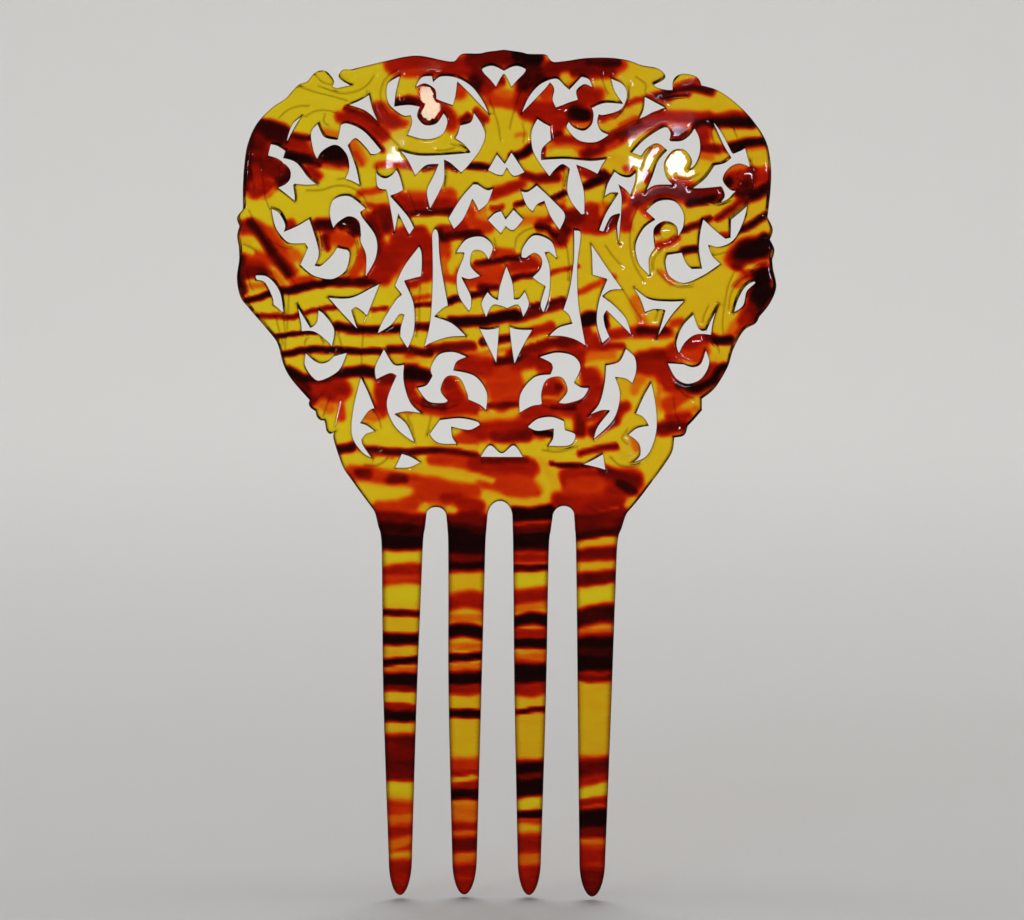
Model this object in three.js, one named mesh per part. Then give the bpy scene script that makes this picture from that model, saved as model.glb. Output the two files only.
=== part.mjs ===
// One-piece ornamental hair comb: a pierced scrollwork crest on a root band with four tines.
// The sheet is bent around the head, so it is hollow towards -Y, and it leans back from the tines.
// Units are millimetres, +Z is up, +X is right as the hollow decorated face is looked at.
import * as THREE from 'three';

// ---------------------------------------------------------------- driving dimensions
const THICKNESS = 2.0;                 // sheet thickness
const BEND_RADIUS = 124.5;             // radius of the middle of the sheet around the head
const OUTLINE_RADIUS = 125.0;          // radius at which distances across the sheet are measured
const LEAN = THREE.MathUtils.degToRad(20.0);   // lean of the crest back from the vertical
const CREST_BOTTOM = 6.5;              // height along the sheet where the tracery ends
const BAND_BOTTOM = -3.5;              // height along the sheet where the tines begin
const TINE_CURVE_RADIUS = 350.0;       // forward curve of the tines in side view
const TINE_TIP = -90.0;                // lowest point of the tines, along the sheet
const TIP_HALF_THICKNESS = 0.85;       // half thickness of the tines at their tips
const TAPER_START = -20.0;             // height along the sheet where the tines start to thin
const FACET_WIDTH = 10.0;              // width of the flat facets that make up the bend
const FACET_COUNT = 14;                // facets across the whole sheet
const TINE_STEP = 11.0;                // height of the facets that make up the tine curve
const FLATNESS = 0.14;                 // largest distance between a curve and its chords
const LEAST_SPACING = 0.25;            // closest that two outline points may lie
const ARCH_STEPS = 8;                  // chords in the round top of a gap between tines
const TIP_STEPS = 10;                  // chords in the round tip of a tine
const TINE_EDGE_STEPS = 15;            // chords in the long edge of a tine

// ---------------------------------------------------------------- outline of the plate
// Each shape is a list of runs.  A run starts at a sharp corner and goes smoothly through
// its other points to the first point of the next run.  Points are [across, up] on the sheet.
// Both rims start on the middle line and go outwards and down to the foot of the crest.
const RIM_LEFT = [
  [[0, 112.6], [-4, 112], [-6, 111.5], [-10, 111.3], [-11.3, 110.2], [-12, 109.3], [-14, 109.2],
    [-20, 110.1], [-24, 109.6], [-30, 107.6], [-36.8, 105.1], [-39.3, 104.6], [-40.15, 103.2],
    [-39.3, 102.1]],
  [[-36.8, 101], [-39.5, 100], [-41, 99.6]],
  [[-41.8, 100.1], [-41.4, 101], [-42.2, 102.4], [-43.9, 103.7], [-46.2, 102.8], [-47.9, 100.5]],
  [[-48.5, 99.9], [-50.6, 98.7], [-53.3, 95.1], [-56.8, 92], [-60.2, 87.6], [-62.2, 82.4],
    [-62.9, 77.4], [-63.1, 71.5], [-62.9, 66.8]],
  [[-63, 65.7], [-64.3, 63.6]],
  [[-63.6, 61.7], [-64.1, 59.2]],
  [[-63.6, 56.8], [-63.4, 53.4], [-63.8, 48.8], [-62.7, 44.5], [-60.2, 41.8], [-56, 37.8],
    [-53.3, 34.7], [-51.8, 30.1], [-49.7, 26.6]],
  [[-45.1, 22], [-45.3, 21], [-44.7, 20.1]],
  [[-43.6, 19.5], [-43.3, 18.3], [-42.5, 17.5]],
  [[-41.5, 17.5], [-41.2, 16.6], [-40.9, 15.1], [-40, 14.4]],
  [[-39.1, 14.9], [-39.2, 13.5], [-38.1, 10.1]],
];
const RIM_RIGHT = [
  [[0, 112.6], [4, 112], [6, 111.5], [10, 111.3], [10.8, 110.5], [12, 109.3], [15, 109.4],
    [20, 109.9], [25.7, 109.6], [30.1, 108.6], [33.8, 106.9], [37.2, 105.9], [39.1, 104.4], [38.9, 103.1]],
  [[36.4, 102], [37.3, 100.9], [39.5, 100]],
  [[41.3, 99.7], [41.5, 102.2], [43.4, 103.6], [47.2, 102.4]],
  [[48.3, 100], [52.6, 98], [57.2, 94], [61.1, 89.2], [64.3, 83.4], [65.4, 77.2], [65.2, 71.5]],
  [[64.3, 64.7], [65.6, 61.5]],
  [[64.8, 59.2], [65.9, 56.5]],
  [[65.3, 54.2], [65.5, 51.8], [66.2, 47.5], [64.6, 43.8]],
  [[61.8, 40.8], [60.8, 39.3], [57.9, 38], [55.3, 33.9], [53.8, 29.7], [50.7, 25.1]],
  [[47.5, 22.8]],
  [[47.5, 20.1], [45.5, 18]],
  [[44, 16.6], [43.2, 14.5]],
  [[40.8, 14.1], [40.5, 11.6], [39.7, 9.7]],
];
const RIM_FOOT_LEFT = [-36.6, CREST_BOTTOM];
const RIM_FOOT_RIGHT = [37.4, CREST_BOTTOM];
const BAND_SIDE_LEFT = [[RIM_FOOT_LEFT, [-34.8, 4.1], [-32, 0.5], [-30, -2]]];
const BAND_FOOT_LEFT = [-29, BAND_BOTTOM];
const BAND_SIDE_RIGHT = [[RIM_FOOT_RIGHT, [35.5, 4.1], [32.7, 0.5], [30.5, -2]]];
const BAND_FOOT_RIGHT = [29.3, BAND_BOTTOM];

// ---------------------------------------------------------------- piercings of the left half
const PETAL_OUTER_LEFT = [
  [[-25.2, 104.8], [-27.9, 102.8], [-28.5, 99.8], [-27.6, 96.8], [-24.4, 94.5]],
  [[-22.5, 94.7], [-22.1, 93.2], [-22.4, 91.5]],
  [[-23.2, 89.6], [-18.6, 88.8], [-14.8, 90.3], [-13.5, 94]],
  [[-14.4, 96], [-16.2, 93.3], [-19, 92.8], [-20.8, 94.9]],
  [[-20.2, 97.4], [-23, 97.6]],
  [[-26.4, 96.9], [-26.1, 100.5]],
];
const PETAL_UPPER_LEFT = [
  [[-21.3, 102.1], [-20.7, 103.7], [-19.6, 105.1]],
  [[-17.4, 105.5]],
  [[-17.1, 103.9], [-15.2, 105.5], [-11.5, 105.4], [-7.8, 103.3], [-5, 99.5]],
  [[-3.4, 95.9], [-6.5, 99.2], [-8.5, 101.4]],
  [[-11.3, 104.1], [-11.7, 100.5]],
  [[-12.3, 97.9], [-14.8, 98.7]],
  [[-16.3, 99.3], [-16.7, 101.8], [-19.2, 103.1]],
];
const PETAL_LOWER_LEFT = [
  [[-7.1, 96.4], [-5.2, 93.5], [-4.4, 90.5], [-5.7, 86.6], [-8.6, 82.4]],
  [[-10.1, 80.8], [-12.5, 83]],
  [[-14.2, 83.9], [-14.1, 79.3], [-15.3, 75.7]],
  [[-17.4, 71.4], [-18.2, 75.7], [-16.5, 80.1]],
  [[-15.5, 82.7], [-18.6, 82.2]],
  [[-21.1, 79.5], [-23.2, 83.5]],
  [[-25.3, 85.8], [-20.5, 84.9], [-14.8, 85.3]],
  [[-7.9, 86.2], [-9.4, 88]],
  [[-11.7, 89.5], [-10.9, 91]],
  [[-10.4, 93.1], [-7.8, 94.1]],
];
const SHOULDER_WEDGE_LEFT = [
  [[-32.6, 99.2], [-31.6, 95.5]],
  [[-29.9, 91.9], [-33.5, 94.7]],
  [[-37.9, 95.8], [-35, 97.4]],
];
const RIM_SLIT_LEFT = [
  [[-49.2, 91.3], [-51.4, 88.9], [-52.6, 85.5]],
  [[-52.7, 84], [-51, 87.9]],
];
const UPPER_SCROLL_LEFT = [
  [[-45, 90.2], [-46.8, 87.4], [-46.2, 83.2]],
  [[-45, 81], [-43.9, 83.3], [-40.6, 85.3], [-37.9, 83.3], [-37.2, 79.7]],
  [[-38, 77], [-36.4, 76.6]],
  [[-34.3, 75.7], [-35.4, 80.5]],
  [[-37.5, 85.8], [-35.8, 87.5], [-33.3, 85.5]],
  [[-32, 83.9], [-30.6, 84.1]],
  [[-29.3, 85.3], [-33.6, 89.8], [-37.5, 91.3]],
  [[-39.4, 90.7], [-39.8, 88.6]],
  [[-40.1, 86.8], [-43.3, 87.2]],
];
const SIDE_SPIRAL_LEFT = [
  [[-56.7, 83.2], [-54.8, 83.1]],
  [[-52.8, 82.2]],
  [[-53.3, 80.3], [-50, 79.7], [-46.9, 76.4]],
  [[-44.6, 74.8], [-47.5, 74.2]],
  [[-50.6, 74], [-50.1, 70.8]],
  [[-50.2, 69.6], [-52.5, 71.1]],
  [[-54.8, 72.4], [-52, 74.4], [-51.8, 77.4], [-54.8, 79.6]],
  [[-57.4, 79.9], [-57.1, 81.5]],
];
const LEAF_SLIT_LEFT = [
  [[-30.6, 80.8], [-30.2, 79.3], [-28.4, 78.4], [-26.7, 79.3]],
  [[-25.6, 80.8], [-24.8, 79.3]],
  [[-23.8, 75.8], [-25.3, 74.7]],
  [[-26.9, 74], [-22.8, 69.5]],
  [[-21.1, 66.5]],
  [[-22.3, 64.5], [-23.6, 66.8]],
  [[-25, 69.6]],
  [[-25.8, 64.7], [-27.1, 71.5]],
  [[-28, 75.3], [-30.2, 75.9]],
];
const FOLD_SLIT_LEFT = [
  [[-7.1, 78.2]],
  [[-6.1, 78.2], [-3.8, 76.8]],
  [[-2.3, 77.2], [-3.6, 73.4]],
  [[-5.7, 71.3], [-6.5, 73]],
  [[-7.3, 74.3], [-9.4, 69.2]],
  [[-11.6, 66.5]],
  [[-13, 69.2], [-10, 74.5]],
];
const TALL_SLIT_LEFT = [
  [[-16.8, 64.8], [-16.1, 66.5], [-15.3, 65.2], [-14.8, 58.8]],
  [[-12.7, 47.4], [-14.2, 46.5]],
  [[-15.9, 44.7], [-11.7, 43.2]],
  [[-8.2, 40], [-12.5, 39.6], [-16.7, 38]],
  [[-18.2, 37], [-16.9, 43.4], [-16.5, 54]],
];
const VASE_HOLE_LEFT = [
  [[-19.8, 61.9], [-19.2, 60.3], [-19.1, 56.5]],
  [[-19.3, 54.3]],
  [[-23.2, 53], [-20.9, 47.6], [-20.7, 41]],
  [[-22.2, 36.4], [-23.2, 37.8]],
  [[-24, 39.1], [-23.9, 41.2]],
  [[-23.1, 44.5], [-24.4, 44.5], [-26.3, 41.8]],
  [[-29.4, 39.5], [-28.2, 42.6], [-25.2, 48]],
  [[-23.8, 49.5]],
  [[-25.5, 51.5], [-23.2, 56.8]],
];
const C_SCROLL_LEFT = [
  [[-40.7, 64.2], [-41.7, 68], [-40.6, 71.7], [-36.8, 73]],
  [[-32.7, 70.3]],
  [[-34.1, 69.3], [-33.5, 68], [-30.2, 63.5], [-30.1, 58.5]],
  [[-32.6, 53.2], [-32.6, 58.4], [-34, 61.7]],
  [[-33.9, 63.4], [-34.5, 66.8], [-37, 67.8], [-39.7, 65.9]],
];
const BAT_WING_LEFT = [
  [[-56.2, 67.2], [-55, 62.6], [-52.5, 59.7], [-50.6, 59.2]],
  [[-47.5, 59.7]],
  [[-46.8, 58.6], [-48.1, 55.3]],
  [[-48.6, 54.2], [-45.2, 52], [-40.6, 51.8], [-37.3, 54.5], [-36.4, 58.5]],
  [[-37, 59.6], [-38.3, 59.7]],
  [[-39.5, 59.9], [-40.8, 57.6], [-43.3, 54.9]],
  [[-44.8, 54.8], [-43.9, 58.5]],
  [[-46.4, 66.1], [-49.5, 63.8]],
  [[-52.6, 62], [-52.3, 63.9], [-54, 66.6]],
];
const COMMA_LEFT = [
  [[-59.5, 49.7], [-59.3, 49], [-57.2, 48.6], [-55.2, 45.3]],
  [[-54.9, 43.6]],
  [[-52, 41.9], [-53.1, 47.2], [-56, 50.3], [-59.1, 50.3]],
];
const CLAW_LEFT = [
  [[-49.1, 44.7], [-48, 40]],
  [[-47.8, 38.1], [-44.5, 38.4], [-41.4, 36.4]],
  [[-40.2, 35.2], [-39.7, 39.7], [-42.2, 43.1]],
  [[-43.8, 44], [-44.1, 40.7]],
  [[-45.4, 39.4], [-47.4, 42.3]],
];
const CRESCENT_LEFT = [
  [[-46.5, 33.3], [-46.8, 30.1], [-44.8, 27.3], [-42.7, 26.8], [-38.4, 29.8]],
  [[-36.5, 34.3]],
  [[-39.5, 33.2], [-40.8, 31.8], [-42.5, 31.1], [-44.3, 31.6]],
];
const NOTCHED_WEDGE_LEFT = [
  [[-41.7, 47.3], [-36, 47.8], [-31, 50.7]],
  [[-29.1, 51.9], [-30.3, 48.5]],
  [[-32, 43.7], [-34.6, 45.4]],
  [[-35.7, 44.8], [-35, 42.7]],
  [[-33.9, 39.7], [-38, 43.6]],
];
const INNER_SCROLL_LEFT = [
  [[-11.1, 60.6], [-8.6, 64.2], [-4.8, 65], [-2.3, 62.6]],
  [[-3.2, 59.1], [-4.6, 61.1], [-7.1, 61.1], [-7.5, 57.6]],
  [[-5, 55], [-7.8, 54.1]],
  [[-9.6, 54.6], [-7.8, 51.1]],
  [[-7.3, 49.7], [-7.3, 47.5]],
  [[-7.8, 46.2], [-10.2, 49.9], [-10.7, 54.9], [-9.1, 59.9]],
  [[-9.2, 60.7]],
];
const CENTRE_WEDGE_LEFT = [
  [[-5.3, 42.1], [-3.2, 41.9]],
  [[-0.6, 42.4]],
  [[-1.2, 33.6], [-3.2, 37.8]],
];
const LOWER_LEAF_LEFT = [
  [[-27.7, 35.9], [-29.7, 31.6], [-29.8, 29.3]],
  [[-29.5, 28.3], [-26.3, 30]],
  [[-24.7, 29.5], [-26.9, 22.8], [-25, 17.4], [-20.9, 14]],
  [[-20.1, 13.9], [-22.1, 18.2]],
  [[-24.9, 20.3], [-22.1, 21]],
  [[-18.4, 20.7], [-21.3, 23.5], [-22.9, 28.5]],
  [[-22.9, 32.5], [-25.3, 32.4]],
];
const LOWER_SCROLL_LEFT = [
  [[-7.9, 35], [-11.3, 36.2], [-14.8, 35.3], [-16.6, 31.8]],
  [[-16.2, 29.9], [-17.5, 27.8]],
  [[-19.8, 27], [-17.1, 23.7], [-13.2, 23.5]],
  [[-12.5, 24.3], [-14.2, 26.8], [-12.8, 30], [-9.8, 29.7], [-8, 26.2]],
  [[-7.7, 24.5], [-4.8, 23.2]],
  [[-3.5, 22], [-3.4, 26.6], [-6.3, 30.5]],
  [[-11.3, 31.7], [-10.5, 33.7]],
];
const TALL_LEAF_LEFT = [
  [[-33.1, 28.7], [-34.8, 20.8], [-35, 14.3], [-32.5, 10.5]],
  [[-29.8, 9.1], [-32.5, 13]],
  [[-31.8, 14.9]],
  [[-29.4, 15.9], [-31.4, 17.2]],
  [[-33, 17.6], [-31.2, 20.5]],
  [[-29.6, 21.3], [-31.4, 25.5]],
];
const LOW_EYE_LEFT = [
  [[-14.2, 19.5], [-9.4, 20.1], [-5.3, 19.3]],
  [[-5, 18.3], [-7.5, 17.1]],
  [[-11.6, 17.8], [-11.3, 15.5]],
  [[-10.1, 13.7], [-14.4, 13.7], [-16.5, 15.5]],
  [[-16.3, 16.4]],
];
const LOW_WEDGE_LEFT = [
  [[-23, 10.9], [-20.9, 10.3]],
  [[-18.6, 9], [-21.3, 7.6]],
  [[-24.6, 7.3]],
];

// ---------------------------------------------------------------- piercings of the right half
// They are the twins of the left ones, cut by hand and a little wider apart.
const PETAL_OUTER_RIGHT = [
  [[26, 104.5], [28.9, 102.7], [30, 99.7], [28.6, 96.2], [24.5, 95]],
  [[23.1, 95.3], [22.7, 93.2], [23.6, 91.2]],
  [[25.8, 90], [22.4, 88.2], [18.2, 88.9], [15.3, 92.3]],
  [[15.7, 94], [17, 92.5], [19.4, 91.6], [21.3, 93.2], [21.7, 96]],
  [[21.2, 97.3], [24.4, 98.4]],
  [[28.9, 97.8], [26.9, 101.2]],
];
const PETAL_UPPER_RIGHT = [
  [[4.2, 96.1], [6.1, 100.7], [8.9, 104], [12.6, 105.3], [14.7, 103.4]],
  [[15.8, 102.3], [17.5, 104.1]],
  [[18.8, 105.5], [20.6, 104.7]],
  [[21.5, 102.3], [19.6, 103.2], [17.6, 101.7]],
  [[18, 99.3], [15.4, 98.6]],
  [[12.7, 97.5], [11.8, 99.9], [12.2, 102.6]],
  [[11.2, 104], [9.3, 101.6]],
];
const PETAL_LOWER_RIGHT = [
  [[8.2, 95], [6.8, 91.8], [7.1, 87], [8.9, 83.3]],
  [[11.2, 80], [12.5, 81.7], [14.3, 83]],
  [[16, 81.9], [15.5, 79], [15.5, 76.1], [16.7, 73]],
  [[18.9, 70.1]],
  [[19.6, 70.1], [19.5, 75.5], [18.4, 80]],
  [[17.6, 82.7], [20.4, 81.5]],
  [[22.8, 80.1], [23.9, 82.3]],
  [[25, 84], [21, 83.8], [14.9, 84.6]],
  [[9.1, 84.5], [9.4, 87.1]],
  [[11.5, 89.2], [11.3, 91.2]],
  [[11.3, 93], [9.7, 93.9]],
];
const SHOULDER_WEDGE_RIGHT = [
  [[34.2, 99.1]],
  [[39.6, 95.5], [36, 94.5]],
  [[32.6, 93.1], [33.9, 96]],
];
// On this side the slit along the rim runs out into the hole of the spiral.
const SIDE_SPIRAL_RIGHT = [
  [[55.9, 81.8], [57.6, 82.2]],
  [[59.1, 82.8], [59.9, 80]],
  [[60.3, 77.6], [57.6, 78.9], [54.9, 78], [53.5, 75.5], [55, 73]],
  [[56.9, 72.3], [54.8, 70.4]],
  [[52.1, 69.6], [53.7, 71.6]],
  [[53.1, 73.8], [48.5, 74]],
  [[45.4, 74.4], [48.9, 76.7]],
  [[51.2, 79.6], [53.6, 79.8]],
  [[55.5, 80.9], [53.6, 84.4]],
  [[51.1, 90.5], [53.4, 87.1]],
];
const UPPER_SCROLL_RIGHT = [
  [[30.9, 85], [34, 88.2], [38.4, 90.7]],
  [[39.9, 90.5], [40.7, 88.7]],
  [[40.4, 87.1], [43.1, 86.9], [45.2, 88.1]],
  [[46.4, 89.7], [47.8, 86.6], [47.9, 83], [46.6, 80]],
  [[44.9, 79.1], [45.7, 81.5], [44.2, 84.1], [41.4, 84.4], [39.1, 81.6], [39.5, 78]],
  [[41.1, 75.8], [36.8, 76.1]],
  [[34.2, 74.7], [35.8, 78.3], [37.4, 82.5]],
  [[39.6, 84.9], [37.4, 86.6], [34.9, 85.7]],
  [[33.4, 83.8]],
];
const LEAF_SLIT_RIGHT = [
  [[26.8, 80.7], [28.5, 79.4], [30.5, 79]],
  [[32.1, 80.2], [31.8, 77.2]],
  [[30.7, 74.2], [29.7, 75.6]],
  [[27.8, 77.2], [28.6, 73.8], [28.4, 68.8]],
  [[27.8, 62.2], [27.4, 66.8]],
  [[28.1, 69.8], [25.9, 69]],
  [[24.2, 65.5]],
  [[23, 65.9], [24.7, 70.3]],
  [[27.7, 75.1], [25.8, 75.1]],
  [[24.3, 74.2], [25.1, 77.6]],
];
const FOLD_SLIT_RIGHT = [
  [[4.3, 76.6], [5.9, 76.4]],
  [[8.1, 78], [11.6, 74.5], [14.9, 70.3]],
  [[13.7, 66.4], [11.6, 69.7]],
  [[10, 73.8], [8.2, 72.9]],
  [[7.2, 71.2], [5.7, 72.8]],
];
const TALL_SLIT_RIGHT = [
  [[17.1, 66.4], [18.7, 65.3], [17.9, 57.2], [18.1, 48.8], [18.9, 43]],
  [[19.9, 37.5], [17.4, 39.1], [14.2, 40]],
  [[11, 40.1], [13.4, 42.3]],
  [[16.7, 43.2], [16, 45.2]],
  [[14.5, 46.5], [16, 51.5], [17, 58.8]],
];
const VASE_HOLE_RIGHT = [
  [[21.2, 62.6], [21.4, 59]],
  [[21.5, 54.9]],
  [[25, 53.7], [23.1, 48.8], [22.5, 43.3]],
  [[23.9, 37.9]],
  [[25.6, 39.3], [24.6, 41.8], [24.2, 44.5]],
  [[25, 45.9], [27.7, 43]],
  [[30.8, 39.6], [29.5, 43.6], [26.6, 47.2]],
  [[23.9, 49.5], [25.9, 50.8]],
  [[28.6, 50.9], [24.8, 56.8]],
];
const C_SCROLL_RIGHT = [
  [[34.3, 70.1], [37.3, 72.3], [41.2, 71.9], [43.6, 68.6], [43.6, 65]],
  [[42.1, 62.7], [41.7, 65.7], [39, 67], [36.4, 65.2]],
  [[36.6, 60.4], [35.2, 58]],
  [[35.3, 53.8], [32.6, 57.2], [31.8, 61.8], [33.8, 65.9]],
  [[36.6, 67.8], [35.3, 69.1]],
];
const BAT_WING_RIGHT = [
  [[48.3, 66.5], [51.4, 63.2]],
  [[53.7, 61]],
  [[55, 61.1], [55.1, 63.6]],
  [[55.2, 65.6], [58, 67.4]],
  [[59.8, 68.8], [58.7, 64.5], [56.2, 60.2], [52.7, 58.9]],
  [[49.7, 59.8], [50.6, 57]],
  [[52.7, 54.7], [48.4, 52.4], [43.6, 51.1], [40, 53.4], [39, 56.8]],
  [[39.5, 58.7]],
  [[43.1, 58.9], [44.2, 55.9]],
  [[45.4, 54.6]],
  [[47.9, 54.4], [47.2, 59], [47.5, 63]],
];
const COMMA_RIGHT = [
  [[55.5, 42.3], [56.6, 45.7], [58.5, 48.6], [60.7, 49.5]],
  [[61.4, 48.7], [59.2, 47], [58.2, 43.7]],
];
const CLAW_RIGHT = [
  [[42.2, 34], [43.6, 36.4], [46.5, 38.3]],
  [[50.2, 37.7], [50.8, 41.2]],
  [[52.2, 45.1], [50.4, 42.3]],
  [[48.8, 39.2], [47.2, 39.5]],
  [[45.8, 43.5], [43, 40.8], [41.5, 36.9]],
];
const CRESCENT_RIGHT = [
  [[39.4, 32.1], [41.5, 31.8]],
  [[43.2, 31.5], [45.4, 30.6], [47.4, 31.3]],
  [[48.6, 34.5], [49.7, 31], [47.8, 27.5], [44.3, 26.5], [41.3, 28.4]],
];
const NOTCHED_WEDGE_RIGHT = [
  [[31.5, 51.1], [35, 48.2], [39.6, 47.2]],
  [[43.9, 46.9], [40.5, 43.4]],
  [[36.8, 38]],
  [[38.9, 45], [36.5, 45.4]],
  [[34.1, 44.8], [33, 48.2]],
];
const INNER_SCROLL_RIGHT = [
  [[4.6, 59.7], [4.9, 62.3], [7.5, 65.4], [11.6, 63.8]],
  [[13, 59.4]],
  [[11.2, 61]],
  [[10.1, 60.9], [11.3, 56.8], [11.2, 50.5]],
  [[9.9, 45.9], [9.2, 48.2]],
  [[10.3, 52.5], [8.8, 53.4]],
  [[7.1, 54.8], [9.1, 57], [9.4, 59.4], [7.7, 60.8]],
  [[5.6, 59.6]],
];
const CENTRE_WEDGE_RIGHT = [
  [[1.9, 42.6], [4, 42]],
  [[7.4, 41.9], [5, 37.6]],
  [[3.1, 33.4], [2.4, 38]],
];
const LOWER_LEAF_RIGHT = [
  [[29.4, 36.4], [31.6, 34], [32, 30.8]],
  [[31.1, 27.7], [29.6, 28.9]],
  [[26.9, 29.5], [28.1, 25], [26.6, 19.3]],
  [[21.7, 14.5], [22.7, 17.8]],
  [[25.6, 21.5], [23.5, 21.5]],
  [[20.5, 20.4], [23, 23.3], [24.3, 28]],
  [[24.7, 32.6], [27.8, 33.4]],
];
const LOWER_SCROLL_RIGHT = [
  [[8.7, 35.1], [13, 36.2], [17, 35.2], [18.7, 32.2]],
  [[17.2, 28.6], [18.8, 27.5]],
  [[20.8, 27.3], [19.2, 24.7], [15.5, 23.5]],
  [[13.4, 23.8], [15.6, 26.8], [14.2, 30], [10.8, 29.5], [9.5, 26.5]],
  [[9.6, 23.5], [7, 22.9]],
  [[4.4, 21.4], [4.6, 26.2], [7.7, 30.2]],
  [[11.6, 30.9], [12, 33.2]],
];
const TALL_LEAF_RIGHT = [
  [[35.5, 27.8], [36.6, 22], [36.7, 15.5], [34.5, 10.1]],
  [[30.5, 8.5], [32.6, 10.3], [32.4, 13.3]],
  [[29.9, 15.5], [32, 17]],
  [[34.8, 17.4], [33.6, 19.4]],
  [[31.7, 20.4], [33.5, 24.4]],
];
const LOW_EYE_RIGHT = [
  [[6.2, 18.1], [8.6, 20.1], [12, 20.5]],
  [[14.8, 19.4]],
  [[15, 17.3], [17.5, 16], [16.2, 13.4]],
  [[11, 13.4], [12.2, 15.2]],
  [[12.4, 17.5], [8.6, 17]],
];
const LOW_WEDGE_RIGHT = [
  [[19.1, 8.8], [21.4, 9.8]],
  [[24, 11.2]],
  [[24.6, 7.2], [22.6, 7.9]],
];

// ---------------------------------------------------------------- piercings on the middle line
const HEART = [
  [[0, 107.5], [-2.1, 108.6], [-3.6, 108.7], [-5.3, 107.8], [-4.8, 106.4], [-3.2, 104.7]],
  [[-1.9, 103], [-0.8, 105.3], [0, 106.3], [0.8, 105.3]],
  [[1.9, 103], [3.2, 104.7], [4.8, 106.4], [5.3, 107.8], [3.6, 108.7], [2.1, 108.6]],
];
const UPPER_CROWN = [
  [[-3.7, 81.6]],
  [[-1.5, 85.9]],
  [[0.4, 83.5]],
  [[2, 86.4]],
  [[5.3, 81.2], [2.6, 80.2]],
  [[0.9, 82.4]],
  [[-0.1, 80.4], [-1.4, 80.5]],
];
const LOWER_CROWN = [
  [[-3.6, 69.1], [-1.9, 70.9]],
  [[-0.4, 71.5]],
  [[0.7, 69.4]],
  [[2.6, 71.9]],
  [[5, 69.3], [2.6, 66.5]],
  [[0.75, 67.5]],
  [[-0.4, 65.7], [-1.75, 67.1]],
];
const SPIRE = [
  [[-3.4, 51.2], [-4.8, 48.2]],
  [[-3.7, 44.8], [-2.3, 47.7], [-0.2, 47.6]],
  [[1.3, 47], [3.25, 47.9], [4.3, 47.5]],
  [[5.1, 44.9], [6.4, 48]],
  [[5.4, 51.4], [4.1, 49.6]],
  [[2.8, 49.5], [2.4, 53.6]],
  [[1, 57.7], [-0.5, 52.5]],
  [[-0.9, 49.2], [-2.3, 50]],
];
const CUPID_BOW = [
  [[-4.7, 10.7], [-2.5, 13.7], [0.3, 11.8], [3.1, 13.7]],
  [[5.3, 10.7]],
];

const LEFT_PIERCINGS = [
  PETAL_OUTER_LEFT, PETAL_UPPER_LEFT, PETAL_LOWER_LEFT, SHOULDER_WEDGE_LEFT, RIM_SLIT_LEFT,
  UPPER_SCROLL_LEFT, SIDE_SPIRAL_LEFT, LEAF_SLIT_LEFT, FOLD_SLIT_LEFT, TALL_SLIT_LEFT,
  VASE_HOLE_LEFT, C_SCROLL_LEFT, BAT_WING_LEFT, COMMA_LEFT, CLAW_LEFT, CRESCENT_LEFT,
  NOTCHED_WEDGE_LEFT, INNER_SCROLL_LEFT, CENTRE_WEDGE_LEFT, LOWER_LEAF_LEFT, LOWER_SCROLL_LEFT,
  TALL_LEAF_LEFT, LOW_EYE_LEFT, LOW_WEDGE_LEFT,
];
const RIGHT_PIERCINGS = [
  PETAL_OUTER_RIGHT, PETAL_UPPER_RIGHT, PETAL_LOWER_RIGHT, SHOULDER_WEDGE_RIGHT,
  UPPER_SCROLL_RIGHT, SIDE_SPIRAL_RIGHT, LEAF_SLIT_RIGHT, FOLD_SLIT_RIGHT, TALL_SLIT_RIGHT,
  VASE_HOLE_RIGHT, C_SCROLL_RIGHT, BAT_WING_RIGHT, COMMA_RIGHT, CLAW_RIGHT, CRESCENT_RIGHT,
  NOTCHED_WEDGE_RIGHT, INNER_SCROLL_RIGHT, CENTRE_WEDGE_RIGHT, LOWER_LEAF_RIGHT,
  LOWER_SCROLL_RIGHT, TALL_LEAF_RIGHT, LOW_EYE_RIGHT, LOW_WEDGE_RIGHT,
];
const MIDDLE_PIERCINGS = [HEART, UPPER_CROWN, LOWER_CROWN, SPIRE, CUPID_BOW];

// ---------------------------------------------------------------- tines
// Left and right edge of each tine where it leaves the band and just above its tip.
const TINES = [
  {
    name: 'tine_1',
    left: [-29, -28.2, -27.4, -27, -26.4, -24.7],
    right: [-17.1, -17.4, -17.8, -18.1, -18.7, -19.4],
  },
  {
    name: 'tine_2',
    left: [-12.4, -12.1, -11.9, -11.7, -11.4, -10.2],
    right: [-2.9, -3.1, -3.3, -3.5, -3.9, -4.6],
  },
  {
    name: 'tine_3',
    left: [2.9, 3, 3.1, 3.3, 3.7, 4.7],
    right: [12.2, 11.8, 11.4, 11.2, 10.9, 10],
  },
  {
    name: 'tine_4',
    left: [17.3, 17.5, 17.7, 17.9, 18.2, 18.8],
    right: [29.3, 28.3, 27.3, 26.8, 26, 24.7],
  },
];
const TINE_LEVELS = [BAND_BOTTOM, -6.5, -10, -22, -45, -82];   // heights of the edges above
const SLOT_TOPS = [-1.4, 0.4, -0.9];                            // height of the round top of each gap

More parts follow.
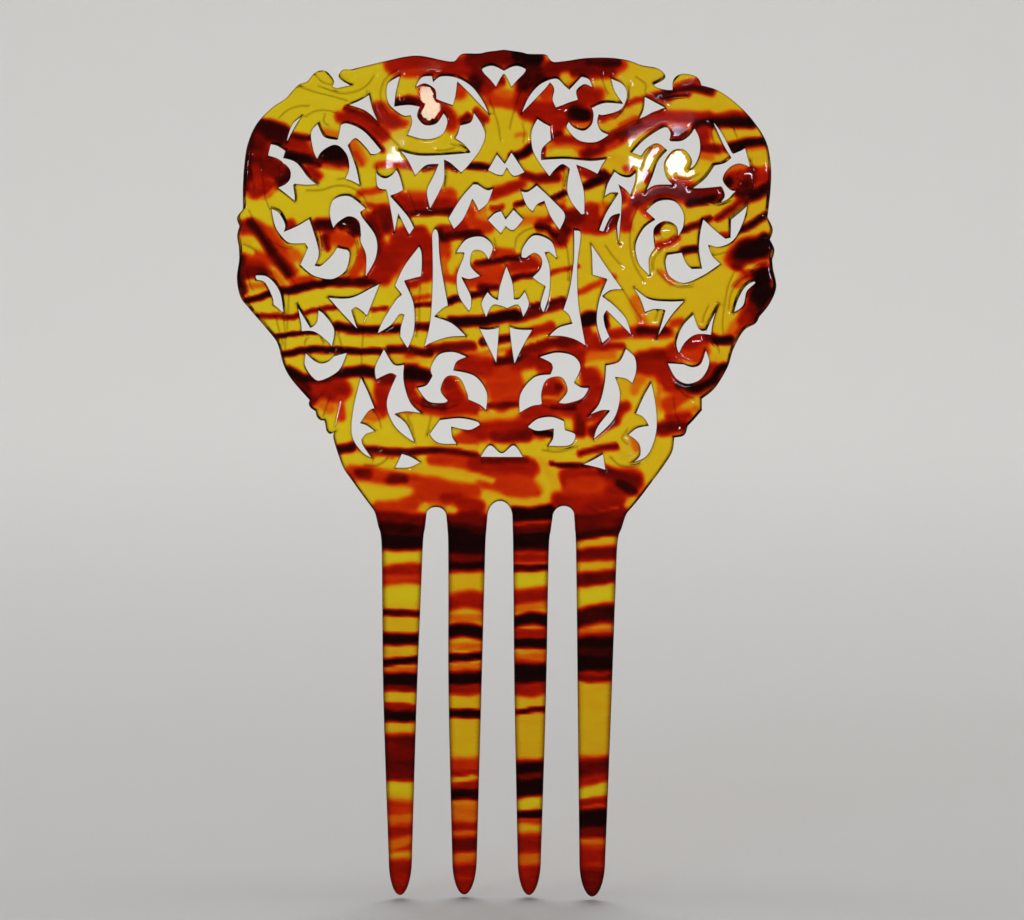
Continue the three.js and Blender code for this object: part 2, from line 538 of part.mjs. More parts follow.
// ---------------------------------------------------------------- sheet to space
// Profile of the sheet in side view: straight and leaning above the tines, curved forward below.
function profile(up) {
  if (up >= BAND_BOTTOM) {
    return { y: up * Math.sin(LEAN), z: up * Math.cos(LEAN), lean: LEAN };
  }
  const turn = (BAND_BOTTOM - up) / TINE_CURVE_RADIUS;
  const lean = LEAN - turn;
  const y = BAND_BOTTOM * Math.sin(LEAN) - TINE_CURVE_RADIUS * (Math.cos(lean) - Math.cos(LEAN));
  const z = BAND_BOTTOM * Math.cos(LEAN) - TINE_CURVE_RADIUS * (Math.sin(LEAN) - Math.sin(lean));
  return { y, z, lean };
}

// Half thickness of the sheet at a height along it.
function halfThickness(up) {
  const share = THREE.MathUtils.clamp((TAPER_START - up) / (TAPER_START - TINE_TIP), 0, 1);
  return THREE.MathUtils.lerp(THICKNESS / 2, TIP_HALF_THICKNESS, share);
}

// Plan position of the round bend at a facet corner: x, and y for a sheet that stands upright.
function bendCorner(across, depth) {
  const angle = across / OUTLINE_RADIUS;
  const reach = BEND_RADIUS + depth;
  return new THREE.Vector2(reach * Math.sin(angle), reach * Math.cos(angle) - BEND_RADIUS);
}

// Point of the bent sheet; side is -1 on the hollow front face and +1 on the back face.
// Between two facet corners the sheet is flat.
function place(across, up, side) {
  const depth = side * halfThickness(up);
  const corner = Math.floor(across / FACET_WIDTH + 0.5) - 0.5;
  const from = bendCorner(corner * FACET_WIDTH, depth);
  const to = bendCorner((corner + 1) * FACET_WIDTH, depth);
  const plan = from.lerp(to, across / FACET_WIDTH - corner);
  const { y, z, lean } = profile(up);
  return new THREE.Vector3(
    plan.x,
    y + plan.y * Math.cos(lean),
    z - plan.y * Math.sin(lean),
  );
}

// ---------------------------------------------------------------- outlines to polygons
// Adds the points of a curve between two of its knots, halving until it is flat enough.
function addCurvePoints(curve, from, to, points) {
  const start = curve.getPoint(from);
  const end = curve.getPoint(to);
  const middle = curve.getPoint((from + to) / 2);
  const chord = end.clone().sub(start);
  const offset = Math.abs(chord.cross(middle.clone().sub(start))) / chord.length();
  if (offset > FLATNESS) {
    addCurvePoints(curve, from, (from + to) / 2, points);
    addCurvePoints(curve, (from + to) / 2, to, points);
    return;
  }
  points.push(start);
}

// Turns a list of runs into polygon points; the last run ends at "finish".
function trace(runs, finish) {
  const points = [];
  runs.forEach((run, index) => {
    const next = index + 1 < runs.length ? runs[index + 1][0] : finish;
    const knots = [...run, next].map(([across, up]) => new THREE.Vector2(across, up));
    const curve = new THREE.SplineCurve(knots);
    for (let knot = 0; knot < knots.length - 1; knot += 1) {
      addCurvePoints(curve, knot / (knots.length - 1), (knot + 1) / (knots.length - 1), points);
    }
  });
  return points;
}

function closedShape(runs) {
  return trace(runs, runs[0][0]);
}

// ---------------------------------------------------------------- polygons to solids
// Position of a cut line crossed by the edge from one flat point to another, or null.
function crossing(from, to, axis, value) {
  const before = from[axis] - value;
  const after = to[axis] - value;
  if (before * after >= 0) {
    return null;
  }
  const share = before / (before - after);
  const point = from.clone().lerp(to, share);
  point[axis] = value;
  const other = axis === 'x' ? 'y' : 'x';
  if (from[other] === to[other]) {
    point[other] = from[other];
  }
  return point;
}

// Adds a vertex wherever a ring crosses a cut line, so that neighbours share every vertex.
function splitRing(ring, cuts) {
  let points = ring;
  for (const { axis, value } of cuts) {
    const divided = [];
    points.forEach((point, index) => {
      divided.push(point);
      const added = crossing(point, points[(index + 1) % points.length], axis, value);
      if (added) {
        divided.push(added);
      }
    });
    points = divided;
  }
  return points;
}

// Splits every triangle that lies across a cut line; new vertices are shared per edge.
function splitTriangles(points, triangles, { axis, value }) {
  const shared = new Map();
  const middleOf = (one, two) => {
    const key = one < two ? `${one}_${two}` : `${two}_${one}`;
    if (!shared.has(key)) {
      const low = Math.min(one, two);
      const high = Math.max(one, two);
      const point = crossing(points[low], points[high], axis, value);
      shared.set(key, point ? points.push(point) - 1 : -1);
    }
    return shared.get(key);
  };
  const result = [];
  for (const [a, b, c] of triangles) {
    const ab = middleOf(a, b);
    const bc = middleOf(b, c);
    const ca = middleOf(c, a);
    if (ab < 0 && bc < 0 && ca < 0) {
      result.push([a, b, c]);
    } else if (ab >= 0 && bc >= 0) {
      result.push([ab, b, bc], [a, ab, bc], [a, bc, c]);
    } else if (bc >= 0 && ca >= 0) {
      result.push([bc, c, ca], [b, bc, ca], [b, ca, a]);
    } else if (ca >= 0 && ab >= 0) {
      result.push([ca, a, ab], [c, ca, ab], [c, ab, b]);
    } else if (ab >= 0) {
      result.push([a, ab, c], [ab, b, c]);
    } else if (bc >= 0) {
      result.push([b, bc, a], [bc, c, a]);
    } else {
      result.push([c, ca, b], [ca, a, b]);
    }
  }
  return result;
}

// Drops points that crowd the one before them, so that no sliver is made.
function thinOut(ring) {
  return ring.filter((point, index) => {
    const previous = ring[(index + ring.length - 1) % ring.length];
    return point.distanceTo(previous) >= LEAST_SPACING;
  });
}

// Closed solid of a pierced outline on the bent sheet.
function sheetSolid(outline, piercings) {
  const turn = (ring, clockwise) => (
    THREE.ShapeUtils.isClockWise(ring) === clockwise ? ring : [...ring].reverse()
  );
  const rings = [turn(outline, false), ...piercings.map((ring) => turn(thinOut(ring), true))]
    .map((ring) => splitRing(ring, CUTS));
  const points = rings.flat().map((point) => point.clone());
  let triangles = THREE.ShapeUtils.triangulateShape(rings[0], rings.slice(1));
  for (const cut of CUTS) {
    triangles = splitTriangles(points, triangles, cut);
  }
  const positions = [];
  for (const side of [-1, 1]) {
    for (const point of points) {
      positions.push(...place(point.x, point.y, side).toArray());
    }
  }
  const count = points.length;
  const index = [];
  for (const [a, b, c] of triangles) {
    const area = (points[b].x - points[a].x) * (points[c].y - points[a].y)
      - (points[c].x - points[a].x) * (points[b].y - points[a].y);
    const [p, q, r] = area > 0 ? [a, b, c] : [a, c, b];
    index.push(p, q, r, r + count, q + count, p + count);
  }
  let first = 0;
  for (const ring of rings) {
    ring.forEach((unused, step) => {
      const a = first + step;
      const b = first + ((step + 1) % ring.length);
      index.push(a, a + count, b + count, a, b + count, b);
    });
    first += ring.length;
  }
  const geometry = new THREE.BufferGeometry();
  geometry.setAttribute('position', new THREE.Float32BufferAttribute(positions, 3));
  geometry.setIndex(index);
  return geometry;
}

// ---------------------------------------------------------------- the sub-parts
function tortoiseshell(colour) {
  return new THREE.MeshStandardMaterial({ color: colour, roughness: 0.12, metalness: 0 });
}

function subPart(name, geometry, colour) {
  const mesh = new THREE.Mesh(geometry, tortoiseshell(colour));
  mesh.name = name;
  return mesh;
}

// Half ellipse between two points at the same height; rise is negative for a tip.
function halfEllipse(fromAcross, toAcross, level, rise, steps) {
  const middle = (fromAcross + toAcross) / 2;
  const reach = (fromAcross - toAcross) / 2;
  const points = [];
  for (let step = 1; step < steps; step += 1) {
    const angle = (Math.PI * step) / steps;
    points.push(new THREE.Vector2(middle + reach * Math.cos(angle), level + rise * Math.sin(angle)));
  }
  return points;
}

function crest() {
  const right = trace(RIM_RIGHT, RIM_FOOT_RIGHT).slice(1);
  const outline = [
    new THREE.Vector2(...RIM_FOOT_RIGHT),
    ...right.reverse(),
    ...trace(RIM_LEFT, RIM_FOOT_LEFT),
    new THREE.Vector2(...RIM_FOOT_LEFT),
  ];
  const piercings = [...MIDDLE_PIERCINGS, ...LEFT_PIERCINGS, ...RIGHT_PIERCINGS];
  return sheetSolid(outline, piercings.map(closedShape));
}

function band() {
  const outline = trace(BAND_SIDE_LEFT, BAND_FOOT_LEFT);
  TINES.forEach((tine, number) => {
    outline.push(new THREE.Vector2(tine.left[0], BAND_BOTTOM));
    outline.push(new THREE.Vector2(tine.right[0], BAND_BOTTOM));
    if (number < SLOT_TOPS.length) {
      const rise = SLOT_TOPS[number] - BAND_BOTTOM;
      const next = TINES[number + 1].left[0];
      outline.push(...halfEllipse(tine.right[0], next, BAND_BOTTOM, rise, ARCH_STEPS));
    }
  });
  outline.push(...trace(BAND_SIDE_RIGHT, BAND_FOOT_RIGHT).reverse());
  return sheetSolid(outline, []);
}

function tine({ left, right }) {
  const knots = (edge) => edge.map((across, number) => new THREE.Vector2(across, TINE_LEVELS[number]));
  const edgePoints = (edge) => new THREE.SplineCurve(knots(edge)).getPoints(TINE_EDGE_STEPS);
  const leftEdge = edgePoints(left);
  const rightEdge = edgePoints(right);
  const lowest = TINE_LEVELS[TINE_LEVELS.length - 1];
  const tip = halfEllipse(
    left[left.length - 1],
    right[right.length - 1],
    lowest,
    TINE_TIP - lowest,
    TIP_STEPS,
  );
  return sheetSolid([...leftEdge, ...tip, ...rightEdge.reverse()], []);
}

const CUTS = [];
for (let number = 0; number < FACET_COUNT; number += 1) {
  CUTS.push({ axis: 'x', value: FACET_WIDTH * (number + 0.5 - FACET_COUNT / 2) });
}
for (let level = BAND_BOTTOM - TINE_STEP; level > TINE_TIP; level -= TINE_STEP) {
  CUTS.push({ axis: 'y', value: level });
}

const group = new THREE.Group();
group.name = 'hair_comb';
group.add(subPart('crest', crest(), 0xa8480c));
group.add(subPart('band', band(), 0x9c2c08));
for (const shape of TINES) {
  group.add(subPart(shape.name, tine(shape), 0x8c3c0a));
}
export default group;
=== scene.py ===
"""Looks of a one-piece ornamental hair comb of see-through, banded, glossy sheet.

The sheet is drawn flat, in millimetres across and up, pierced, meshed and then bent
around the head, as the CAD solids are.  One continuous piece stands for them.
"""
import math

import bpy
import numpy as np
from mathutils import Matrix, Vector
from mathutils.geometry import delaunay_2d_cdt
from mathutils.kdtree import KDTree

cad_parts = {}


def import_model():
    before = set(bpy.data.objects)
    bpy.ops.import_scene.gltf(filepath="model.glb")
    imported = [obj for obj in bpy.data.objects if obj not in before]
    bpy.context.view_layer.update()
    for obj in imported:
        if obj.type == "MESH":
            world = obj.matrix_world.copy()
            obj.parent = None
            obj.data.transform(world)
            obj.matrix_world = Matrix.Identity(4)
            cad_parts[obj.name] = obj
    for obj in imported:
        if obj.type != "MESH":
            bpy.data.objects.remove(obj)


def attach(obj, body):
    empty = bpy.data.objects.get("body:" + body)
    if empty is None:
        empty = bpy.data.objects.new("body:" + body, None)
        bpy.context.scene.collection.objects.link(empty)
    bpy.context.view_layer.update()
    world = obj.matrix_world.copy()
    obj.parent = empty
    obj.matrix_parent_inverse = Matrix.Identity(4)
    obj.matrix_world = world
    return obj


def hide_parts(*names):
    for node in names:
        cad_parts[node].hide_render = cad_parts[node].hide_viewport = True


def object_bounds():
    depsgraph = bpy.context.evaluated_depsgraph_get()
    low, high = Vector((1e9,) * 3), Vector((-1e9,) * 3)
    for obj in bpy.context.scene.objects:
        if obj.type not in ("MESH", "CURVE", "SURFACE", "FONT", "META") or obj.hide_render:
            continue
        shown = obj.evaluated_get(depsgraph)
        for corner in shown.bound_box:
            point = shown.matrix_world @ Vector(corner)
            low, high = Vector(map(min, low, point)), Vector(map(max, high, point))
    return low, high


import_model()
cad_low, cad_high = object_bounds()

# ------------------------------------------------------------------ driving dimensions (mm)
THICKNESS = 2.0
BEND_RADIUS = 124.5
OUTLINE_RADIUS = 125.0     # radius at which distances across the sheet are measured
LEAN = math.radians(20.0)
BAND_BOTTOM = -3.5
TINE_CURVE_RADIUS = 350.0
TINE_TIP = -90.0
TINE_END = -82.0
TIP_HALF_THICKNESS = 0.85
TAPER_START = -20.0

# Painted shade along the cut edges and walls: how dark it is, from 0 to 1, and how far in it reaches on the
# tines.
CREST_EDGE_PAINTED_SHADE = 0.8
TINE_PAINTED_SHADE_WIDTH = 0.95

# ------------------------------------------------------------------ outlines
# Each shape is a list of runs.  A run starts at a sharp corner and goes smoothly through its
# other points to the first point of the next run.  Points are (across, up) on the sheet.
# Outlines of the rim, from the middle of the top outwards and down to the foot of the crest.
RIM_LEFT = [
    [[0, 112.6], [-4, 112], [-6, 111.5], [-10, 111.3], [-11.3, 110.2], [-12, 109.3], [-14, 109.2],
     [-20, 110.1], [-24, 109.6], [-30, 107.6], [-36.8, 105.1], [-39.3, 104.6], [-40.15, 103.2],
     [-39.3, 102.1]],
    [[-36.8, 101], [-39.5, 100], [-41, 99.6]],
    [[-41.8, 100.1], [-41.4, 101], [-42.2, 102.4], [-43.9, 103.7], [-46.2, 102.8], [-47.9, 100.5]],
    [[-48.5, 99.9], [-50.6, 98.7], [-53.3, 95.1], [-56.8, 92], [-60.2, 87.6], [-62.2, 82.4],
     [-62.9, 77.4], [-63.1, 71.5], [-62.9, 66.8]],
    [[-63, 65.7], [-64.3, 63.6]],
    [[-63.6, 61.7], [-64.1, 59.2]],
    [[-63.6, 56.8], [-63.4, 53.4], [-63.8, 48.8], [-62.7, 44.5], [-60.2, 41.8], [-56, 37.8],
     [-53.3, 34.7], [-51.8, 30.1], [-49.7, 26.6]],
    [[-45.1, 22], [-45.3, 21], [-44.7, 20.1]],
    [[-43.6, 19.5], [-43.3, 18.3], [-42.5, 17.5]],
    [[-41.5, 17.5], [-41.2, 16.6], [-40.9, 15.1], [-40, 14.4]],
    [[-39.1, 14.9], [-39.2, 13.5], [-38.1, 10.1]],
]
RIM_RIGHT = [
    [[0, 112.6], [4, 112], [6, 111.5], [10, 111.3], [10.8, 110.5], [12, 109.3], [15, 109.4],
     [20, 109.9], [25.7, 109.6], [30.1, 108.6], [33.8, 106.9], [37.2, 105.9], [39.1, 104.4], [38.9, 103.1]],
    [[36.4, 102], [37.3, 100.9], [39.5, 100]],
    [[41.3, 99.7], [41.5, 102.2], [43.4, 103.6], [47.2, 102.4]],
    [[48.3, 100], [52.6, 98], [57.2, 94], [61.1, 89.2], [64.3, 83.4], [65.4, 77.2], [65.2, 71.5]],
    [[64.3, 64.7], [65.6, 61.5]],
    [[64.8, 59.2], [65.9, 56.5]],
    [[65.3, 54.2], [65.5, 51.8], [66.2, 47.5], [64.6, 43.8]],
    [[61.8, 40.8], [60.8, 39.3], [57.9, 38], [55.3, 33.9], [53.8, 29.7], [50.7, 25.1]],
    [[47.5, 22.8]],
    [[47.5, 20.1], [45.5, 18]],
    [[44, 16.6], [43.2, 14.5]],
    [[40.8, 14.1], [40.5, 11.6], [39.7, 9.7]],
]

# Piercings of the left half.
PETAL_OUTER_LEFT = [
    [[-25.2, 104.8], [-27.9, 102.8], [-28.5, 99.8], [-27.6, 96.8], [-24.4, 94.5]],
    [[-22.5, 94.7], [-22.1, 93.2], [-22.4, 91.5]],
    [[-23.2, 89.6], [-18.6, 88.8], [-14.8, 90.3], [-13.5, 94]],
    [[-14.4, 96], [-16.2, 93.3], [-19, 92.8], [-20.8, 94.9]],
    [[-20.2, 97.4], [-23, 97.6]],
    [[-26.4, 96.9], [-26.1, 100.5]],
]
PETAL_UPPER_LEFT = [
    [[-21.3, 102.1], [-20.7, 103.7], [-19.6, 105.1]],
    [[-17.4, 105.5]],
    [[-17.1, 103.9], [-15.2, 105.5], [-11.5, 105.4], [-7.8, 103.3], [-5, 99.5]],
    [[-3.4, 95.9], [-6.5, 99.2], [-8.5, 101.4]],
    [[-11.3, 104.1], [-11.7, 100.5]],
    [[-12.3, 97.9], [-14.8, 98.7]],
    [[-16.3, 99.3], [-16.7, 101.8], [-19.2, 103.1]],
]
PETAL_LOWER_LEFT = [
    [[-7.1, 96.4], [-5.2, 93.5], [-4.4, 90.5], [-5.7, 86.6], [-8.6, 82.4]],
    [[-10.1, 80.8], [-12.5, 83]],
    [[-14.2, 83.9], [-14.1, 79.3], [-15.3, 75.7]],
    [[-17.4, 71.4], [-18.2, 75.7], [-16.5, 80.1]],
    [[-15.5, 82.7], [-18.6, 82.2]],
    [[-21.1, 79.5], [-23.2, 83.5]],
    [[-25.3, 85.8], [-20.5, 84.9], [-14.8, 85.3]],
    [[-7.9, 86.2], [-9.4, 88]],
    [[-11.7, 89.5], [-10.9, 91]],
    [[-10.4, 93.1], [-7.8, 94.1]],
]
SHOULDER_WEDGE_LEFT = [
    [[-32.6, 99.2], [-31.6, 95.5]],
    [[-29.9, 91.9], [-33.5, 94.7]],
    [[-37.9, 95.8], [-35, 97.4]],
]
RIM_SLIT_LEFT = [
    [[-49.2, 91.3], [-51.4, 88.9], [-52.6, 85.5]],
    [[-52.7, 84], [-51, 87.9]],
]
UPPER_SCROLL_LEFT = [
    [[-45, 90.2], [-46.8, 87.4], [-46.2, 83.2]],
    [[-45, 81], [-43.9, 83.3], [-40.6, 85.3], [-37.9, 83.3], [-37.2, 79.7]],
    [[-38, 77], [-36.4, 76.6]],
    [[-34.3, 75.7], [-35.4, 80.5]],
    [[-37.5, 85.8], [-35.8, 87.5], [-33.3, 85.5]],
    [[-32, 83.9], [-30.6, 84.1]],
    [[-29.3, 85.3], [-33.6, 89.8], [-37.5, 91.3]],
    [[-39.4, 90.7], [-39.8, 88.6]],
    [[-40.1, 86.8], [-43.3, 87.2]],
]
SIDE_SPIRAL_LEFT = [
    [[-56.7, 83.2], [-54.8, 83.1]],
    [[-52.8, 82.2]],
    [[-53.3, 80.3], [-50, 79.7], [-46.9, 76.4]],
    [[-44.6, 74.8], [-47.5, 74.2]],
    [[-50.6, 74], [-50.1, 70.8]],
    [[-50.2, 69.6], [-52.5, 71.1]],
    [[-54.8, 72.4], [-52, 74.4], [-51.8, 77.4], [-54.8, 79.6]],
    [[-57.4, 79.9], [-57.1, 81.5]],
]
LEAF_SLIT_LEFT = [
    [[-30.6, 80.8], [-30.2, 79.3], [-28.4, 78.4], [-26.7, 79.3]],
    [[-25.6, 80.8], [-24.8, 79.3]],
    [[-23.8, 75.8], [-25.3, 74.7]],
    [[-26.9, 74], [-22.8, 69.5]],
    [[-21.1, 66.5]],
    [[-22.3, 64.5], [-23.6, 66.8]],
    [[-25, 69.6]],
    [[-25.8, 64.7], [-27.1, 71.5]],
    [[-28, 75.3], [-30.2, 75.9]],
]
FOLD_SLIT_LEFT = [
    [[-7.1, 78.2]],
    [[-6.1, 78.2], [-3.8, 76.8]],
    [[-2.3, 77.2], [-3.6, 73.4]],
    [[-5.7, 71.3], [-6.5, 73]],
    [[-7.3, 74.3], [-9.4, 69.2]],
    [[-11.6, 66.5]],
    [[-13, 69.2], [-10, 74.5]],
]
TALL_SLIT_LEFT = [
    [[-16.8, 64.8], [-16.1, 66.5], [-15.3, 65.2], [-14.8, 58.8]],
    [[-12.7, 47.4], [-14.2, 46.5]],
    [[-15.9, 44.7], [-11.7, 43.2]],
    [[-8.2, 40], [-12.5, 39.6], [-16.7, 38]],
    [[-18.2, 37], [-16.9, 43.4], [-16.5, 54]],
]
VASE_HOLE_LEFT = [
    [[-19.8, 61.9], [-19.2, 60.3], [-19.1, 56.5]],
    [[-19.3, 54.3]],
    [[-23.2, 53], [-20.9, 47.6], [-20.7, 41]],
    [[-22.2, 36.4], [-23.2, 37.8]],
    [[-24, 39.1], [-23.9, 41.2]],
    [[-23.1, 44.5], [-24.4, 44.5], [-26.3, 41.8]],
    [[-29.4, 39.5], [-28.2, 42.6], [-25.2, 48]],
    [[-23.8, 49.5]],
    [[-25.5, 51.5], [-23.2, 56.8]],
]
C_SCROLL_LEFT = [
    [[-40.7, 64.2], [-41.7, 68], [-40.6, 71.7], [-36.8, 73]],
    [[-32.7, 70.3]],
    [[-34.1, 69.3], [-33.5, 68], [-30.2, 63.5], [-30.1, 58.5]],
    [[-32.6, 53.2], [-32.6, 58.4], [-34, 61.7]],
    [[-33.9, 63.4], [-34.5, 66.8], [-37, 67.8], [-39.7, 65.9]],
]
BAT_WING_LEFT = [
    [[-56.2, 67.2], [-55, 62.6], [-52.5, 59.7], [-50.6, 59.2]],
    [[-47.5, 59.7]],
    [[-46.8, 58.6], [-48.1, 55.3]],
    [[-48.6, 54.2], [-45.2, 52], [-40.6, 51.8], [-37.3, 54.5], [-36.4, 58.5]],
    [[-37, 59.6], [-38.3, 59.7]],
    [[-39.5, 59.9], [-40.8, 57.6], [-43.3, 54.9]],
    [[-44.8, 54.8], [-43.9, 58.5]],
    [[-46.4, 66.1], [-49.5, 63.8]],
    [[-52.6, 62], [-52.3, 63.9], [-54, 66.6]],
]
COMMA_LEFT = [
    [[-59.5, 49.7], [-59.3, 49], [-57.2, 48.6], [-55.2, 45.3]],
    [[-54.9, 43.6]],
    [[-52, 41.9], [-53.1, 47.2], [-56, 50.3], [-59.1, 50.3]],
]
CLAW_LEFT = [
    [[-49.1, 44.7], [-48, 40]],
    [[-47.8, 38.1], [-44.5, 38.4], [-41.4, 36.4]],
    [[-40.2, 35.2], [-39.7, 39.7], [-42.2, 43.1]],
    [[-43.8, 44], [-44.1, 40.7]],
    [[-45.4, 39.4], [-47.4, 42.3]],
]
CRESCENT_LEFT = [
    [[-46.5, 33.3], [-46.8, 30.1], [-44.8, 27.3], [-42.7, 26.8], [-38.4, 29.8]],
    [[-36.5, 34.3]],
    [[-39.5, 33.2], [-40.8, 31.8], [-42.5, 31.1], [-44.3, 31.6]],
]
NOTCHED_WEDGE_LEFT = [
    [[-41.7, 47.3], [-36, 47.8], [-31, 50.7]],
    [[-29.1, 51.9], [-30.3, 48.5]],
    [[-32, 43.7], [-34.6, 45.4]],
    [[-35.7, 44.8], [-35, 42.7]],
    [[-33.9, 39.7], [-38, 43.6]],
]
INNER_SCROLL_LEFT = [
    [[-11.1, 60.6], [-8.6, 64.2], [-4.8, 65], [-2.3, 62.6]],
    [[-3.2, 59.1], [-4.6, 61.1], [-7.1, 61.1], [-7.5, 57.6]],
    [[-5, 55], [-7.8, 54.1]],
    [[-9.6, 54.6], [-7.8, 51.1]],
    [[-7.3, 49.7], [-7.3, 47.5]],
    [[-7.8, 46.2], [-10.2, 49.9], [-10.7, 54.9], [-9.1, 59.9]],
    [[-9.2, 60.7]],
]
CENTRE_WEDGE_LEFT = [
    [[-5.3, 42.1], [-3.2, 41.9]],
    [[-0.6, 42.4]],
    [[-1.2, 33.6], [-3.2, 37.8]],
]
LOWER_LEAF_LEFT = [
    [[-27.7, 35.9], [-29.7, 31.6], [-29.8, 29.3]],
    [[-29.5, 28.3], [-26.3, 30]],
    [[-24.7, 29.5], [-26.9, 22.8], [-25, 17.4], [-20.9, 14]],
    [[-20.1, 13.9], [-22.1, 18.2]],
    [[-24.9, 20.3], [-22.1, 21]],
    [[-18.4, 20.7], [-21.3, 23.5], [-22.9, 28.5]],
    [[-22.9, 32.5], [-25.3, 32.4]],
]
LOWER_SCROLL_LEFT = [
    [[-7.9, 35], [-11.3, 36.2], [-14.8, 35.3], [-16.6, 31.8]],
    [[-16.2, 29.9], [-17.5, 27.8]],
    [[-19.8, 27], [-17.1, 23.7], [-13.2, 23.5]],
    [[-12.5, 24.3], [-14.2, 26.8], [-12.8, 30], [-9.8, 29.7], [-8, 26.2]],
    [[-7.7, 24.5], [-4.8, 23.2]],
    [[-3.5, 22], [-3.4, 26.6], [-6.3, 30.5]],
    [[-11.3, 31.7], [-10.5, 33.7]],
]
TALL_LEAF_LEFT = [
    [[-33.1, 28.7], [-34.8, 20.8], [-35, 14.3], [-32.5, 10.5]],
    [[-29.8, 9.1], [-32.5, 13]],
    [[-31.8, 14.9]],
    [[-29.4, 15.9], [-31.4, 17.2]],
    [[-33, 17.6], [-31.2, 20.5]],
    [[-29.6, 21.3], [-31.4, 25.5]],
]
LOW_EYE_LEFT = [
    [[-14.2, 19.5], [-9.4, 20.1], [-5.3, 19.3]],
    [[-5, 18.3], [-7.5, 17.1]],
    [[-11.6, 17.8], [-11.3, 15.5]],
    [[-10.1, 13.7], [-14.4, 13.7], [-16.5, 15.5]],
    [[-16.3, 16.4]],
]
LOW_WEDGE_LEFT = [
    [[-23, 10.9], [-20.9, 10.3]],
    [[-18.6, 9], [-21.3, 7.6]],
    [[-24.6, 7.3]],
]

# Piercings of the right half, twins of the left ones, cut by hand and a little wider apart.
PETAL_OUTER_RIGHT = [
    [[26, 104.5], [28.9, 102.7], [30, 99.7], [28.6, 96.2], [24.5, 95]],
    [[23.1, 95.3], [22.7, 93.2], [23.6, 91.2]],
    [[25.8, 90], [22.4, 88.2], [18.2, 88.9], [15.3, 92.3]],
    [[15.7, 94], [17, 92.5], [19.4, 91.6], [21.3, 93.2], [21.7, 96]],
    [[21.2, 97.3], [24.4, 98.4]],
    [[28.9, 97.8], [26.9, 101.2]],
]
PETAL_UPPER_RIGHT = [
    [[4.2, 96.1], [6.1, 100.7], [8.9, 104], [12.6, 105.3], [14.7, 103.4]],
    [[15.8, 102.3], [17.5, 104.1]],
    [[18.8, 105.5], [20.6, 104.7]],
    [[21.5, 102.3], [19.6, 103.2], [17.6, 101.7]],
    [[18, 99.3], [15.4, 98.6]],
    [[12.7, 97.5], [11.8, 99.9], [12.2, 102.6]],
    [[11.2, 104], [9.3, 101.6]],
]
PETAL_LOWER_RIGHT = [
    [[8.2, 95], [6.8, 91.8], [7.1, 87], [8.9, 83.3]],
    [[11.2, 80], [12.5, 81.7], [14.3, 83]],
    [[16, 81.9], [15.5, 79], [15.5, 76.1], [16.7, 73]],
    [[18.9, 70.1]],
    [[19.6, 70.1], [19.5, 75.5], [18.4, 80]],
    [[17.6, 82.7], [20.4, 81.5]],
    [[22.8, 80.1], [23.9, 82.3]],
    [[25, 84], [21, 83.8], [14.9, 84.6]],
    [[9.1, 84.5], [9.4, 87.1]],
    [[11.5, 89.2], [11.3, 91.2]],
    [[11.3, 93], [9.7, 93.9]],
]
SHOULDER_WEDGE_RIGHT = [
    [[34.2, 99.1]],
    [[39.6, 95.5], [36, 94.5]],
    [[32.6, 93.1], [33.9, 96]],
]
UPPER_SCROLL_RIGHT = [
    [[30.9, 85], [34, 88.2], [38.4, 90.7]],
    [[39.9, 90.5], [40.7, 88.7]],
    [[40.4, 87.1], [43.1, 86.9], [45.2, 88.1]],
    [[46.4, 89.7], [47.8, 86.6], [47.9, 83], [46.6, 80]],
    [[44.9, 79.1], [45.7, 81.5], [44.2, 84.1], [41.4, 84.4], [39.1, 81.6], [39.5, 78]],
    [[41.1, 75.8], [36.8, 76.1]],
    [[34.2, 74.7], [35.8, 78.3], [37.4, 82.5]],
    [[39.6, 84.9], [37.4, 86.6], [34.9, 85.7]],
    [[33.4, 83.8]],
]
SIDE_SPIRAL_RIGHT = [
    [[55.9, 81.8], [57.6, 82.2]],
    [[59.1, 82.8], [59.9, 80]],
    [[60.3, 77.6], [57.6, 78.9], [54.9, 78], [53.5, 75.5], [55, 73]],
    [[56.9, 72.3], [54.8, 70.4]],
    [[52.1, 69.6], [53.7, 71.6]],
    [[53.1, 73.8], [48.5, 74]],
    [[45.4, 74.4], [48.9, 76.7]],
    [[51.2, 79.6], [53.6, 79.8]],
    [[55.5, 80.9], [53.6, 84.4]],
    [[51.1, 90.5], [53.4, 87.1]],
]
LEAF_SLIT_RIGHT = [
    [[26.8, 80.7], [28.5, 79.4], [30.5, 79]],
    [[32.1, 80.2], [31.8, 77.2]],
    [[30.7, 74.2], [29.7, 75.6]],
    [[27.8, 77.2], [28.6, 73.8], [28.4, 68.8]],
    [[27.8, 62.2], [27.4, 66.8]],
    [[28.1, 69.8], [25.9, 69]],
    [[24.2, 65.5]],
    [[23, 65.9], [24.7, 70.3]],
    [[27.7, 75.1], [25.8, 75.1]],
    [[24.3, 74.2], [25.1, 77.6]],
]
FOLD_SLIT_RIGHT = [
    [[4.3, 76.6], [5.9, 76.4]],
    [[8.1, 78], [11.6, 74.5], [14.9, 70.3]],
    [[13.7, 66.4], [11.6, 69.7]],
    [[10, 73.8], [8.2, 72.9]],
    [[7.2, 71.2], [5.7, 72.8]],
]
TALL_SLIT_RIGHT = [
    [[17.1, 66.4], [18.7, 65.3], [17.9, 57.2], [18.1, 48.8], [18.9, 43]],
    [[19.9, 37.5], [17.4, 39.1], [14.2, 40]],
    [[11, 40.1], [13.4, 42.3]],
    [[16.7, 43.2], [16, 45.2]],
    [[14.5, 46.5], [16, 51.5], [17, 58.8]],
]
